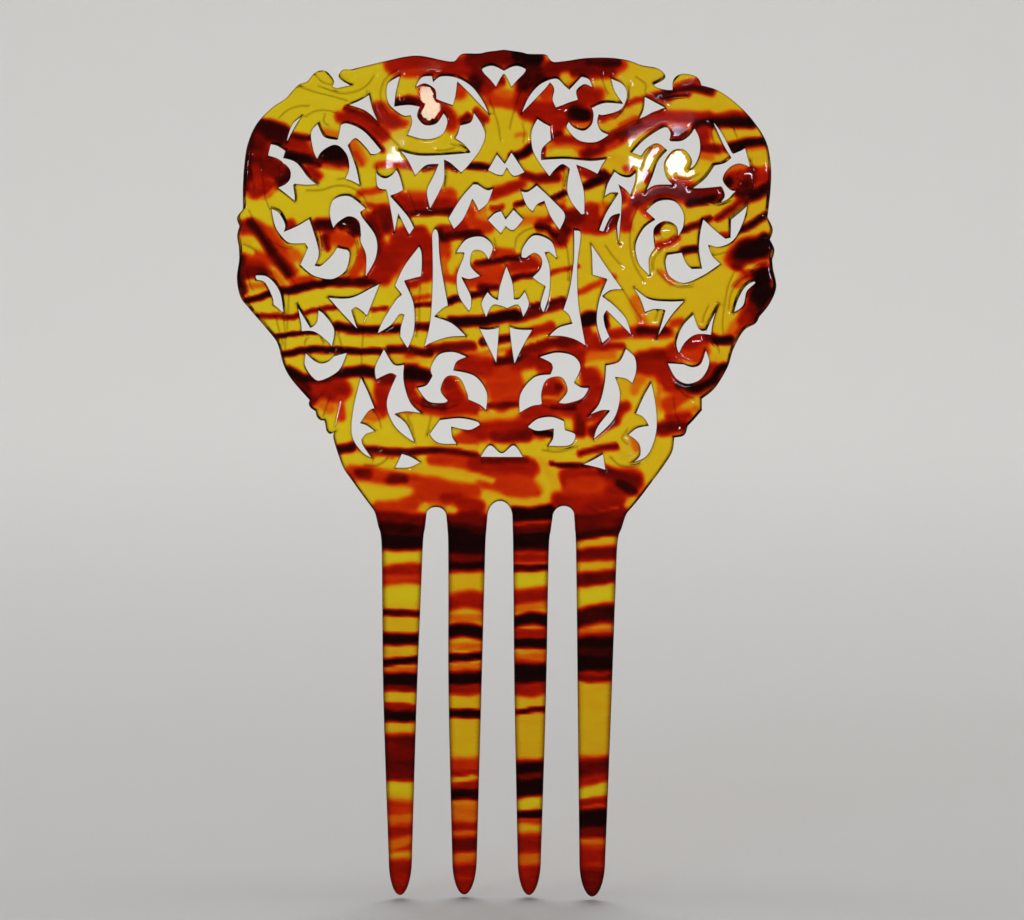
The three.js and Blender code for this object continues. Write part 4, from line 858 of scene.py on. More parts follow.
# Rounded bosses of the rosettes and scrolls: middle and radius.
BOSSES = [
    (18.4, 97, 4.2), (-41.6, 82, 3.6), (-55.2, 76.6, 3),
    (57.6, 75.6, 3.4), (-36.6, 65, 2.6), (39.6, 64, 2.8), (-6, 60.4, 2), (7.6, 59.4, 2.2),
    (-11.2, 27.6, 3), (12.5, 27.6, 3), (45.8, 35.4, 3.2), (-43.4, 35.4, 3), (-42.4, 102, 2.2),
    (45, 102.4, 2), (-38.4, 103.4, 1.8), (-30.4, 14, 2.6), (30.4, 13.4, 2.6),
]
GROOVES = [
    # left half, from the top down
    [(-46.3, 101.9), (-44.5, 100.6), (-41.8, 100.1)],
    [(-51.3, 97.6), (-50, 98.3), (-46.5, 97.7), (-42, 97.2), (-38, 96.6)],
    [(-45, 99.2), (-40, 98.2), (-36, 99.3), (-33.3, 101.2), (-31.8, 103.6)],
    [(-26.4, 105.6), (-28.9, 103.2), (-30, 100), (-29.6, 96.8), (-28, 94.4)],
    [(-33.4, 99.4), (-33, 96.4), (-31, 93)],
    [(-55, 89.6), (-53, 91.9), (-50.5, 93.3), (-47.6, 93.9)],
    [(-48.6, 91), (-46, 92.8), (-43.4, 93.4), (-40.8, 93.2)],
    [(-43.6, 92.3), (-43.9, 90.6), (-42.8, 89.6)],
    [(-30.4, 91.2), (-28.2, 89.2), (-26.2, 87.2), (-25.2, 86.4)],
    [(-12.2, 87.6), (-10.2, 87.2), (-8.8, 86.6)],
    [(-16, 85.9), (-13.4, 86.3), (-11.6, 86.9)],
    [(-3.4, 99.4), (-2.2, 96), (-1.2, 92.6), (-0.7, 89)],
    [(-4.9, 94.6), (-4.5, 91), (-5, 88)],
    [(-36.6, 80), (-37, 77.6), (-40, 76.4)],
    [(-59.3, 79), (-58.9, 74.5), (-57.8, 70)],
    [(-61.9, 79), (-61.4, 74), (-60.6, 70.4)],
    [(-53.4, 78.8), (-54.8, 77.6), (-54.4, 75.4), (-55.6, 74)],
    [(-47.6, 72.6), (-44, 73.2), (-41, 74.6), (-38, 75), (-35.4, 74.2), (-33.4, 72.4), (-32.3, 70)],
    [(-58.6, 71.6), (-57.6, 68.4), (-56.6, 66.4)],
    [(-61.9, 65.2), (-59.6, 61.8), (-56.4, 57.8), (-52.8, 53.6), (-49.4, 48.6)],
    [(-63, 56.9), (-61, 56.4), (-59.4, 55.4)],
    [(-61.8, 50.6), (-61.2, 48), (-60.3, 46)],
    [(-55.8, 51.2), (-54.2, 47.6), (-53, 43), (-52, 37.6), (-51.8, 33)],
    [(-51.3, 46.4), (-51.4, 41), (-51.5, 35.6)],
    [(-56.6, 59.2), (-54, 57.9), (-51, 57.8)],
    [(-44.7, 64), (-43.8, 60.4), (-43.7, 57)],
    [(-43, 51), (-38.6, 52.4), (-35.7, 55.4), (-34.9, 59), (-35.6, 62.4), (-37.8, 63.6)],
    [(-36.4, 66.9), (-38.4, 66.6), (-39.6, 64.8)],
    [(-54.6, 41), (-53.4, 37.4), (-52.2, 34)],
    [(-43.6, 37.6), (-42.7, 36), (-42.4, 34.2)],
    [(-41.4, 37.8), (-40.3, 36.2), (-39.8, 34.4)],
    [(-39.2, 39.6), (-38.6, 37), (-37.8, 35)],
    [(-31.6, 50), (-32.2, 45.6), (-32.9, 40), (-33.2, 34), (-33.3, 30.2)],
    [(-46.4, 36.4), (-47, 35.2), (-46.8, 34.2)],
    [(-14.4, 82.6), (-13.5, 80), (-13.9, 76.6)],
    [(-22.8, 75), (-21.8, 72.6), (-20.8, 70)],
    [(-1.9, 64), (-1.3, 61.6), (-2, 59.4)],
    [(-19.4, 52), (-19.7, 48), (-19.6, 43), (-20.2, 39)],
    [(-38, 22.4), (-38.7, 18.6), (-39.3, 15.8)],
    [(-40.6, 22.8), (-41.7, 19.6), (-42.2, 17.9)],
    [(-42.4, 23.6), (-44, 21.6)],
    [(-31.6, 7.4), (-28.8, 7.6), (-26.5, 9.2)],
    [(-30.2, 20.6), (-28.8, 18.6), (-28.2, 16.6)],
    [(-22, 19.6), (-20.9, 17.2), (-20.4, 14.6)],
    [(-16.5, 19.6), (-17, 17.2), (-17.6, 15.2)],
    [(-21.6, 24.6), (-18.6, 22.4), (-14, 21.8), (-10, 23)],
    # right half, from the top down
    [(6.4, 105), (3.9, 101), (2.5, 96.6), (1.5, 92)],
    [(4.7, 93), (5.1, 90.6), (4.8, 88.4)],
    [(23.6, 105), (24.4, 102.6), (25.6, 100)],
    [(32.4, 103.8), (34.6, 101.8), (34.4, 98.8)],
    [(30.7, 101.6), (30.6, 98.6), (29.2, 95.6), (27.2, 93.6)],
    [(39, 97.6), (42, 97.8), (45, 97.6)],
    [(26, 90.4), (30, 92), (34, 93.8), (38.6, 94.2)],
    [(51, 89.8), (51.2, 87), (52, 83.8)],
    [(56.4, 87.6), (57.3, 85.6), (58, 84)],
    [(61, 79), (61.7, 75.6), (61.3, 72)],
    [(42.4, 77.4), (45, 76.6), (47.6, 77.4)],
    [(36.2, 85.4), (34.6, 83.2), (33.8, 80.6)],
    [(14.6, 82.6), (14.9, 80), (14.5, 76.8)],
    [(24.2, 75.4), (24.2, 72.6), (25, 70)],
    [(3, 61.6), (3.5, 64.4), (5.8, 66.3), (9, 66.9), (12, 65.6), (13.8, 62.4)],
    [(15.4, 62.4), (15.9, 58), (15.7, 53.4)],
    [(32.6, 70.6), (31, 66), (30.7, 61), (31.7, 56.6), (34, 52.4)],
    [(24.8, 61.6), (26.6, 59), (28.6, 56.6)],
    [(37.2, 54.8), (39.4, 51.8), (42.4, 50.1), (46, 49.8)],
    [(38.4, 62.6), (38.1, 64.8), (39.4, 66.1), (41.2, 65.4), (41.9, 63.6), (40.6, 62.2)],
    [(50.4, 70), (52.6, 69), (56, 69.5)],
    [(58.2, 73.8), (57.2, 75.6), (58.4, 77)],
    [(49.7, 58.4), (51.4, 57), (54.6, 57.2)],
    [(59.8, 50.8), (57, 49.4), (55.3, 46.6), (54.8, 43.2)],
    [(56, 51.6), (54.6, 48.6), (53.8, 44.6), (53.2, 40), (53.4, 36.4)],
    [(60.4, 51.8), (62.6, 52.9), (64.6, 53)],
    [(49.7, 44.6), (48.7, 42.6), (48.3, 41)],
    [(37.4, 44.6), (36.8, 42.6)],
    [(29, 50.6), (31.2, 46.6), (33.4, 42.8)],
    [(50.2, 37), (51.6, 35), (52.4, 33)],
    [(41, 23), (41.6, 19.6), (42.6, 16.4)],
    [(42.6, 24.8), (44.4, 23.2), (46, 22.6)],
    [(26, 10), (28, 8.1), (31, 7.6), (33, 8)],
    [(29.8, 16.4), (28.6, 14.6), (30, 12.9)],
    [(10, 12.2), (14, 11.8), (18, 12.9)],
    [(8.8, 23.4), (12, 22.4), (16, 22.2), (19.4, 24)],
    [(38.6, 60), (36.6, 57.6), (36.4, 54.8)],
]

# ------------------------------------------------------------------ bands of the tortoiseshell
# Tone runs from 0, clear yellow, through gold, orange and reds to 1, nearly black.
YELLOW, GOLD, ORANGE, SCARLET, RED, CRIMSON, BROWN, BLACK = 0.02, 0.14, 0.27, 0.4, 0.54, 0.7, 0.85, 1
# Each stroke: tone, half width, and the points it runs through.  Later strokes lie on top.
STROKES = [
    # top edge
    (RED, 2.8, [(-26.5, 107.4), (-18, 107.8), (-8, 108)]),
    (SCARLET, 1.2, [(-24, 105.2), (-20, 105.6)]),
    (CRIMSON, 2.6, [(-7, 110), (-2, 110.8), (3, 110.4)]),
    (CRIMSON, 2.6, [(-6, 106), (-5, 103.6)]),
    (BROWN, 1.2, [(-7, 104.8), (-5, 102.4)]),
    (RED, 1.8, [(-3.8, 102.2), (-1.6, 104.6)]),
    (CRIMSON, 1, [(-1.4, 106), (-0.8, 104.6)]),
    (BROWN, 3.2, [(6, 108), (8, 105.8)]),
    (BROWN, 2, [(5.2, 105), (4.8, 102.6)]),
    (BLACK, 1.3, [(3.5, 110.9), (8.5, 110.2)]),
    (CRIMSON, 2.7, [(12, 107.6), (20, 107.6), (26, 107.4)]),
    (SCARLET, 1.4, [(28.8, 107.4)]),
    (BROWN, 0.9, [(21, 108.8), (27.5, 108.2)]),
    (ORANGE, 1.2, [(-1.4, 101.6), (1.8, 101.2)]),
    (SCARLET, 1.5, [(-3.4, 99.6), (0.4, 99.2), (3, 98.4)]),
    (RED, 1.8, [(4.2, 100.4), (5.2, 96.2)]),
    (GOLD, 1.2, [(15, 105.4), (15.6, 104)]),
    # rosettes at the top
    (BROWN, 1, [(-26.2, 97.2), (-23, 98.6), (-20.6, 98.4)]),
    (CRIMSON, 2.5, [(-18.2, 101), (-17.8, 98)]),
    (BROWN, 1.4, [(-19.6, 95.2), (-17, 93.8)]),
    (RED, 2, [(-16.5, 97.4), (-14, 95.6), (-12.6, 93)]),
    (SCARLET, 1.7, [(-11.3, 102.8), (-10.8, 100.6)]),
    (RED, 1, [(-6.4, 96.6), (-4.2, 94.7)]),
    (CRIMSON, 0.9, [(-10, 94.2), (-8.4, 95.2)]),
    (RED, 2.6, [(18, 101.4), (22, 100)]),
    (RED, 3, [(14, 96.2), (8, 96.4)]),
    (RED, 1.8, [(19, 99), (16, 97.8)]),
    (SCARLET, 1.6, [(11.6, 103.2), (10.4, 100.6)]),
    (BLACK, 2, [(17.4, 96), (19.8, 95.2)]),
    (ORANGE, 0.9, [(17.4, 92.8), (20.4, 92.6)]),
    (RED, 1.6, [(13.6, 94), (13, 90.6)]),
    (BROWN, 0.8, [(13.6, 90.6), (11.4, 89.8)]),
    # shoulders
    (SCARLET, 1.2, [(-24, 92.6), (-26, 93)]),
    (RED, 2.2, [(-30.2, 95.2), (-28.4, 93.2), (-26.8, 93)]),
    (RED, 1.6, [(-39.6, 92.4), (-36, 93), (-32.6, 91.2), (-29, 89)]),
    (CRIMSON, 0.7, [(-38.4, 95), (-34, 93.6), (-31, 91.6)]),
    (BROWN, 0.7, [(-35, 89.8), (-31.4, 87.6), (-29.4, 85.4)]),
    (ORANGE, 1.4, [(-43, 87.9), (-41, 87.6)]),
    (RED, 3, [(-59.6, 84), (-59.4, 78), (-60, 72)]),
    (BROWN, 2.6, [(-60, 85.6), (-56, 86), (-54, 85.4)]),
    (CRIMSON, 2.4, [(-60.4, 83), (-60.6, 79.6)]),
    (BROWN, 0.8, [(-60.5, 88), (-56, 87.8), (-53, 87)]),
    (BROWN, 1, [(-61.6, 86), (-62.7, 80), (-62.8, 71)]),
    (RED, 2.2, [(-51.4, 83.4), (-49.2, 84.6), (-47.6, 82)]),
    (BROWN, 0.6, [(-50.6, 86), (-47, 86.3)]),
    (BLACK, 1.2, [(-52, 81), (-48.4, 80.6), (-45, 80)]),
    (RED, 1.2, [(-47, 78), (-44.8, 76.4)]),
    (CRIMSON, 1, [(-45.4, 80.6), (-38, 80.8)]),
    (ORANGE, 0.7, [(-43.6, 79.4), (-38.2, 79.6)]),
    (BROWN, 2.4, [(-42, 83), (-39.6, 82.8)]),
    (BLACK, 1.8, [(-43, 82.8), (-40.8, 83.4)]),
    (ORANGE, 1.7, [(-37, 86.2), (-35.4, 84.4), (-34, 82.4)]),
    (SCARLET, 0.7, [(-35.6, 83.4), (-34.4, 81.4)]),
    (SCARLET, 1, [(-30.4, 81.2), (-27, 81.9), (-24, 81.6)]),
    (RED, 0.9, [(-23.6, 82), (-21.4, 81.2)]),
    (BROWN, 1, [(-18.9, 81.8), (-17, 82.5)]),
    (BROWN, 0.8, [(-13.4, 83), (-11.4, 81.8)]),
    (CRIMSON, 1.9, [(20, 86), (24, 87.4), (28, 89.4), (33, 91.8), (38, 92.6)]),
    (SCARLET, 0.8, [(25.6, 87), (27.4, 88)]),
    (ORANGE, 1.6, [(12.2, 87.8), (15, 87), (19, 88)]),
    (RED, 1.1, [(13, 89.3), (17, 89), (22, 87.6)]),
    (YELLOW, 0.7, [(12.8, 86.2), (16, 85.7)]),
    (CRIMSON, 0.8, [(9.8, 87.2), (9.3, 85.6)]),
    (RED, 1.3, [(23.4, 94.6), (25.4, 94), (27.8, 95.2)]),
    (GOLD, 1.1, [(24.8, 91.9), (28, 93.8), (31.6, 95.6)]),
    (SCARLET, 0.8, [(28.6, 92.2), (32, 93.6)]),
    (RED, 0.7, [(29.4, 97), (32, 98.2), (35, 98.6)]),
    (RED, 0.9, [(35, 98.7), (40, 99.3)]),
    (BROWN, 1, [(38, 98.6), (43, 99.6), (47, 99.3), (51, 98.2)]),
    (RED, 0.7, [(42.2, 100.7), (48, 101.2)]),
    (ORANGE, 0.7, [(36.6, 96.6), (40.6, 96.8)]),
    (BROWN, 0.4, [(39, 97.6), (45, 97.7)]),
    (RED, 1.6, [(35, 92.8), (40, 92.8), (46, 92.2), (50, 91.6)]),
    (RED, 0.9, [(50, 91.4), (56, 91.1), (60, 90.3)]),
    (BLACK, 1.3, [(47.4, 90.2), (52, 89.8), (57, 89.2), (61.4, 88.6)]),
    (BLACK, 1.1, [(55, 83.2), (59, 83.9), (64.6, 83)]),
    (ORANGE, 0.4, [(60, 82), (64.4, 81.4)]),
    (CRIMSON, 1.6, [(42, 88.8), (44, 88.6)]),
    (RED, 1.8, [(48.6, 88.2), (49, 86.4)]),
    (CRIMSON, 1.1, [(48.4, 83.8), (52.6, 83.2)]),
    (ORANGE, 0.9, [(48, 82), (50.4, 81.4)]),
    (ORANGE, 0.8, [(41.4, 76.8), (45, 76.4)]),
    (ORANGE, 1, [(36, 84.6), (38.2, 85.4)]),
    (RED, 0.8, [(35.3, 79.2), (34.8, 77.4)]),
    (GOLD, 1.4, [(26, 84), (29, 83)]),
    (SCARLET, 0.8, [(29.4, 80.6), (31, 80.6)]),
    # between the rosettes
    (ORANGE, 0.6, [(3.2, 90.2), (5.4, 90.8)]),
    (BLACK, 0.8, [(-9.8, 82.5), (-7, 82.4), (-3.8, 82.1)]),
    (BLACK, 1, [(2.4, 85.1), (5, 86.2), (7.2, 88)]),
    (RED, 1.5, [(-3, 75.6), (0, 76.6), (4, 78)]),
    (CRIMSON, 1.2, [(5, 80.4), (8, 79.3), (13, 79.4)]),
    (GOLD, 0.6, [(9.6, 76.8), (13, 77.8), (15, 78.2)]),
    (BLACK, 0.6, [(9, 73.5), (12, 74.6), (15, 76)]),
    (ORANGE, 0.7, [(11, 72.6), (14.6, 74)]),
    (RED, 0.9, [(12, 71.2), (14.2, 72.2)]),
    (RED, 0.7, [(-2.4, 71.9), (0, 72.3)]),
    (BROWN, 0.6, [(3, 72.7), (6, 73.7)]),
    (ORANGE, 1.4, [(-9, 72.6), (-5, 72)]),
    (SCARLET, 0.8, [(-8.2, 71.4), (-7, 70.6)]),
    (SCARLET, 2.2, [(-22, 73.8), (-17.6, 73.6), (-13, 74.6)]),
    (RED, 1.4, [(-22, 71.8), (-14, 72.4), (-12, 72.4)]),
    (BROWN, 0.8, [(-22.4, 69.9), (-17, 70.2), (-11.6, 70.8)]),
    (BROWN, 1.2, [(12.4, 81.8), (14, 82.5)]),
    (RED, 1.4, [(18.2, 82), (21, 80.4), (23, 79.6)]),
    (BLACK, 1, [(19.8, 77.4), (24.6, 78.8)]),
    (BROWN, 0.8, [(24, 80.2), (25.2, 79)]),
    # left side
    (CRIMSON, 2.6, [(-56.6, 77.6), (-54.4, 76.6)]),
    (BROWN, 0.9, [(-52.4, 77.4), (-52.6, 75), (-54.4, 73.5)]),
    (RED, 1.5, [(-57.4, 71.8), (-60.4, 70.4)]),
    (RED, 1.1, [(-57.4, 73), (-55.4, 72.8)]),
    (ORANGE, 0.7, [(-57.6, 69.4), (-55.4, 71.8)]),
    (SCARLET, 1, [(-34.8, 73.7), (-31.6, 74.3), (-29.4, 74.9)]),
    (RED, 2, [(-31.6, 70.4), (-28.8, 70.2)]),
    (RED, 1.6, [(-24.8, 73.4), (-22.4, 71.6)]),
    (RED, 1.3, [(-53, 63), (-50.8, 64)]),
    (RED, 2, [(-63.6, 61), (-60, 61.4), (-57, 60)]),
    (SCARLET, 1.5, [(-56, 61), (-53, 57.6), (-50, 56)]),
    (SCARLET, 1.6, [(-61, 54.6), (-57, 54.6), (-53.6, 54.6), (-50.4, 52.4)]),
    (RED, 1.7, [(-63, 52), (-58.6, 52.4), (-56, 50)]),
    (ORANGE, 1.5, [(-50.4, 57), (-49, 55.4)]),
    (YELLOW, 0.6, [(-49.4, 53.8), (-47, 52.3), (-43, 51.6)]),
    (BROWN, 1.1, [(-61.2, 62.6), (-57.6, 58.6), (-54.4, 55.4), (-51, 51)]),
    (GOLD, 0.6, [(-63.6, 57.9), (-61, 57.4)]),
    (YELLOW, 0.7, [(-63, 55.8), (-60.4, 55.5)]),
    (BROWN, 0.9, [(-63.2, 53.6), (-63.5, 49), (-62.6, 45.4)]),
    (CRIMSON, 1.3, [(-62, 50.2), (-58.4, 51)]),
    (ORANGE, 0.9, [(-61, 47.4), (-57, 47.8)]),
    (BLACK, 0.75, [(-61.8, 43.4), (-58.6, 44.7), (-55.4, 46)]),
    (ORANGE, 1, [(-54.8, 51.2), (-53, 48.8)]),
    (SCARLET, 1.2, [(-50, 49.6), (-46, 50.8)]),
    (BLACK, 0.85, [(-53.8, 46.9), (-50, 47.8), (-46, 49.5), (-42, 50.9), (-37, 51.3), (-30.6, 51.9)]),
    (BROWN, 1.2, [(-39, 51.4), (-33, 51.6)]),
    (CRIMSON, 0.6, [(-59, 39.9), (-54, 41), (-50, 41.4), (-45, 43.7), (-42, 44.3), (-38.4, 44.9)]),
    (BLACK, 0.5, [(-54.8, 36.2), (-51, 36.9), (-47, 37.9), (-42, 38.2)]),
    (BLACK, 0.75, [(-52.6, 31.7), (-48, 33.1), (-44, 34.1), (-38, 34.9), (-34, 34.7), (-29, 35)]),
    (BLACK, 1, [(-39.6, 40.2), (-35, 40.1), (-31, 40.3), (-27, 40.5), (-23.6, 40.9)]),
    (ORANGE, 0.4, [(-37, 38.8), (-31, 39), (-24, 39.6)]),
    (CRIMSON, 0.45, [(-30.8, 45.4), (-27.2, 46)]),
    (SCARLET, 2, [(-41.4, 61.8), (-37, 61.6)]),
    (BROWN, 1.6, [(-44.6, 64.8), (-41.6, 64.8)]),
    (CRIMSON, 0.9, [(-42.6, 61.6), (-41.8, 59)]),
    (BROWN, 1.6, [(-38.6, 65.6), (-36.6, 66.2), (-35, 64.4)]),
    (GOLD, 0.6, [(-44.7, 61.4), (-44.1, 59), (-44.4, 56)]),
    (SCARLET, 1.3, [(-33.8, 59.4), (-33.8, 55.6), (-36, 53.4)]),
    (GOLD, 0.9, [(-35.4, 60), (-36, 56.6), (-38.4, 53.4)]),
    (RED, 3.6, [(-29.4, 59), (-28, 56.6), (-25, 60), (-23, 63)]),
    (RED, 1.8, [(-31, 53.8), (-28, 53)]),
    (CRIMSON, 1.7, [(-31.4, 68), (-30.4, 64), (-30.6, 60.6)]),
    (CRIMSON, 1.7, [(-28.6, 69.6), (-27.6, 66)]),
    (GOLD, 0.9, [(-33, 72.2), (-30.8, 72), (-28.6, 72.8)]),
    (GOLD, 0.7, [(-33.4, 70.4), (-32, 69.6)]),
    (RED, 1.1, [(-22.8, 52.2), (-21, 52.6)]),
    # around the centre
    (RED, 2.6, [(-20, 64.4), (-18.4, 61), (-18, 56)]),
    (RED, 1.8, [(-14, 66.4), (-9.4, 68)]),
    (YELLOW, 0.9, [(-22, 67.6), (-17.6, 68.1), (-13, 68.5)]),
    (SCARLET, 1.7, [(-13.8, 63.4), (-14, 59.6)]),
    (BROWN, 1, [(-14.8, 65.6), (-14.2, 64.4), (-10, 65.2), (-5, 66.1)]),
    (SCARLET, 1.6, [(-7, 69), (-3.4, 66.8)]),
    (ORANGE, 1, [(-5.6, 70.6), (-4.6, 70)]),
    (ORANGE, 0.8, [(-13.8, 59), (-13.4, 55.6)]),
    (SCARLET, 1, [(-13.6, 54), (-10.4, 53.4)]),
    (RED, 1.4, [(-18, 54.2), (-20.4, 54)]),
    (GOLD, 0.9, [(-18.2, 51.4), (-21, 50)]),
    (SCARLET, 0.8, [(-17.8, 49.2), (-20.6, 48.4)]),
    (BROWN, 0.5, [(-22, 46.7), (-19, 47), (-16.8, 47.3)]),
    (BROWN, 0.9, [(-21.4, 41.6), (-17.4, 42)]),
    (BLACK, 0.75, [(-14, 47.9), (-10.4, 49.2), (-7, 50.3), (-3.6, 51.5)]),
    (SCARLET, 3, [(-8.4, 54.6), (-4, 55.2), (-1.4, 56)]),
    (RED, 2, [(3.4, 57.6), (7.6, 58)]),
    (SCARLET, 1.2, [(-1.6, 60.8), (2, 61)]),
    (BROWN, 0.7, [(-6.4, 57.9), (-3, 58.5), (1, 59.5), (6, 60.2)]),
    (ORANGE, 0.7, [(8.6, 60), (9.4, 58.4)]),
    (BROWN, 0.75, [(-5, 52.4), (-1.4, 52.4)]),
    (BROWN, 0.75, [(2.2, 54.2), (5, 54.9), (8, 55)]),
    (RED, 0.5, [(11, 55.5), (14, 56.4), (18, 57.3)]),
    (CRIMSON, 1.2, [(3, 44.8), (7, 45.8), (11, 47.2), (15, 48)]),
    (BLACK, 1.3, [(-11.6, 43.6), (-8, 43.6), (-4, 43.7), (0, 44.7), (3, 45.4)]),
    (BROWN, 0.6, [(6, 47.4), (10, 48.3), (15, 49.2)]),
    (RED, 1.3, [(6, 41), (9, 41.6), (11.6, 42.4)]),
    (ORANGE, 1.4, [(3.4, 68.6), (8, 69.4)]),
    (RED, 1.2, [(9.4, 68.4), (12.6, 70)]),
    (GOLD, 0.8, [(6, 71), (10, 70.6)]),
    (CRIMSON, 2.6, [(15.6, 69), (20, 69.4), (24, 69.8)]),
    (CRIMSON, 1.8, [(14.6, 66), (14, 63.6)]),
    (RED, 1.4, [(20, 66.6), (25, 66.6)]),
    (BROWN, 0.9, [(13.8, 67.4), (15.4, 66)]),
    (BROWN, 0.8, [(8.6, 67.6), (11, 66.9), (12.8, 64.8)]),
    (BLACK, 1.2, [(17.8, 43.2), (20, 43.6), (23, 44.4)]),
    (RED, 1.2, [(18, 41.2), (20.4, 40.8)]),
    (SCARLET, 0.8, [(17.6, 50.4), (21, 51.5), (24.6, 53.2), (26.6, 54)]),
    # right side
    (RED, 1.5, [(61.6, 74.4), (65.2, 74.6)]),
    (SCARLET, 0.6, [(61.6, 76.2), (65, 76.4)]),
    (RED, 2.6, [(57, 76), (58.4, 73.6)]),
    (ORANGE, 1, [(55.4, 78), (59.2, 77.8)]),
    (CRIMSON, 1.5, [(60.6, 76), (60.4, 72)]),
    (BROWN, 1.5, [(59, 72.6), (57.6, 71.4)]),
    (BLACK, 1.4, [(55, 74.6)]),
    (BLACK, 1.3, [(59.4, 70.2), (62, 70.6), (65.4, 72)]),
    (CRIMSON, 1.8, [(32, 72.4), (36, 73.9), (41, 74.6)]),
    (CRIMSON, 2.3, [(42, 74), (47, 72.8), (52, 72.6)]),
    (BLACK, 0.9, [(45, 70.9), (51.6, 71.2)]),
    (SCARLET, 1.1, [(33.8, 70), (36, 68.4)]),
    (RED, 1.2, [(28.6, 76), (28.8, 73.6)]),
    (RED, 1.6, [(30, 70), (29.6, 66.6)]),
    (CRIMSON, 1.7, [(25, 67.4), (27, 69)]),
    (RED, 2, [(21, 70.6), (22.6, 67)]),
    (ORANGE, 0.9, [(24.4, 72), (23.6, 70)]),
    (CRIMSON, 0.8, [(52, 65.8), (56, 67.8), (59.4, 70)]),
    (BROWN, 0.8, [(43.4, 64.4), (47.6, 65.2), (50, 66)]),
    (RED, 0.8, [(53.6, 61.6), (54.8, 61.6)]),
    (BROWN, 0.9, [(38, 66.8), (37, 64.6)]),
    (RED, 0.9, [(37.4, 61.3), (40, 61.6), (42.4, 62.6)]),
    (BLACK, 0.85, [(43.2, 58.8), (46.8, 59)]),
    (BLACK, 0.8, [(57, 62.4), (61, 63.5), (64.4, 65)]),
    (RED, 3.4, [(57.4, 56), (60, 57)]),
    (BLACK, 2.6, [(58.4, 57), (63, 56.8)]),
    (BLACK, 1.4, [(63.6, 59), (65, 57)]),
    (CRIMSON, 1, [(56.6, 53.6), (58.6, 53)]),
    (RED, 1.2, [(59, 51), (62, 51.4)]),
    (ORANGE, 0.6, [(58.8, 52.4), (62, 53), (64.8, 53.3)]),
    (YELLOW, 0.5, [(59.4, 52.8), (62.4, 52.3)]),
    (CRIMSON, 3, [(62.6, 43.6), (60.6, 42)]),
    (BLACK, 2.6, [(63.4, 50), (62.4, 46.6)]),
    (BLACK, 1.3, [(64.6, 46), (63, 43.4)]),
    (RED, 1.5, [(58.6, 41), (56.6, 38.4)]),
    (ORANGE, 1.2, [(56, 39.4), (54.4, 37.4)]),
    (SCARLET, 0.7, [(58, 50.6), (56.4, 48.8)]),
    (ORANGE, 0.8, [(37.6, 54.4), (40.6, 51.2)]),
    (ORANGE, 1.5, [(31.8, 48), (32.6, 45), (33.4, 42)]),
    (SCARLET, 1, [(41, 41.6), (43, 41.8)]),
    (BLACK, 0.9, [(24.4, 44.6), (24.8, 42.4)]),
    (BLACK, 1.4, [(20, 44), (21.6, 44.4)]),
    (RED, 1.4, [(20, 39), (26, 39.8), (33, 40), (39.6, 39.6)]),
    (BROWN, 0.8, [(33, 40.4), (39, 40.2)]),
    # lower third
    (SCARLET, 3, [(-3, 32.4), (1, 31.6), (3, 27)]),
    (SCARLET, 3.2, [(-1, 29), (1, 24)]),
    (RED, 2.4, [(-9.4, 33.6), (-4, 32.6)]),
    (RED, 2.2, [(4, 33.4), (8.6, 34.6), (11, 32.6)]),
    (CRIMSON, 1.6, [(3, 36), (8, 37.4), (13, 38.6), (17, 38)]),
    (BROWN, 1, [(-1, 34), (4, 34.6)]),
    (CRIMSON, 1.1, [(-17, 36.6), (-12, 37.2), (-7, 37.4)]),
    (BROWN, 0.9, [(-4.4, 38.4), (0, 39.5), (4, 40.4), (6, 40.8)]),
    (ORANGE, 0.4, [(-9.6, 35.4), (-5, 36), (-1, 36.6), (2, 37.4)]),
    (GOLD, 0.5, [(4.8, 37.9), (9, 39.2), (13, 40)]),
    (RED, 2, [(18, 36), (20, 32), (21, 27)]),
    (RED, 1.8, [(-21.4, 33.4), (-21.6, 28), (-20, 24)]),
    (BLACK, 1.8, [(-21.6, 30.6), (-18, 29.8)]),
    (BROWN, 0.9, [(-27, 35.4), (-22.4, 36.2), (-17, 35.6)]),
    (GOLD, 0.7, [(-27, 33.4), (-22.6, 33.6), (-18, 33.6)]),
    (GOLD, 0.6, [(-19.6, 26), (-17.8, 24)]),
    (RED, 2.4, [(-12, 27.6), (-10.6, 25)]),
    (RED, 1.8, [(-18, 22.6), (-13, 22), (-8, 22.6), (-5, 22)]),
    (CRIMSON, 0.9, [(-18, 23.2), (-13.4, 22.6)]),
    (RED, 2.4, [(12.4, 27.8), (11, 26)]),
    (CRIMSON, 1, [(13.6, 27.6)]),
    (ORANGE, 0.7, [(10.4, 25.2), (12.4, 25)]),
    (RED, 2, [(6, 21.6), (12, 22), (18, 22), (21, 24)]),
    (BROWN, 0.6, [(12.4, 22.4), (17, 22.2)]),
    (CRIMSON, 1.6, [(19, 19.4), (18.6, 17)]),
    (CRIMSON, 0.7, [(-2.6, 22.8), (3.4, 23.4)]),
    (GOLD, 1, [(-4.6, 21), (-1.6, 19.8), (1, 20.6), (4.4, 22.4)]),
    (RED, 2.2, [(-7, 16.2), (-2, 17.2), (4, 18), (9, 17)]),
    (CRIMSON, 1.4, [(-1, 15.8), (6, 15.6)]),
    (SCARLET, 1.5, [(-9.6, 14.6), (-6.6, 14)]),
    (BLACK, 0.7, [(8.4, 16.6), (12, 16)]),
    (GOLD, 0.6, [(11.4, 17.4), (12.4, 17.8)]),
    (BROWN, 1.2, [(-38.8, 10.6), (-35, 11.6)]),
    (BROWN, 0.85, [(-32.6, 11.2), (-27, 11), (-22, 11.4), (-16, 11.9), (-10, 11.4), (-5.6, 11)]),
    (SCARLET, 0.4, [(-31, 9.9), (-25, 10)]),
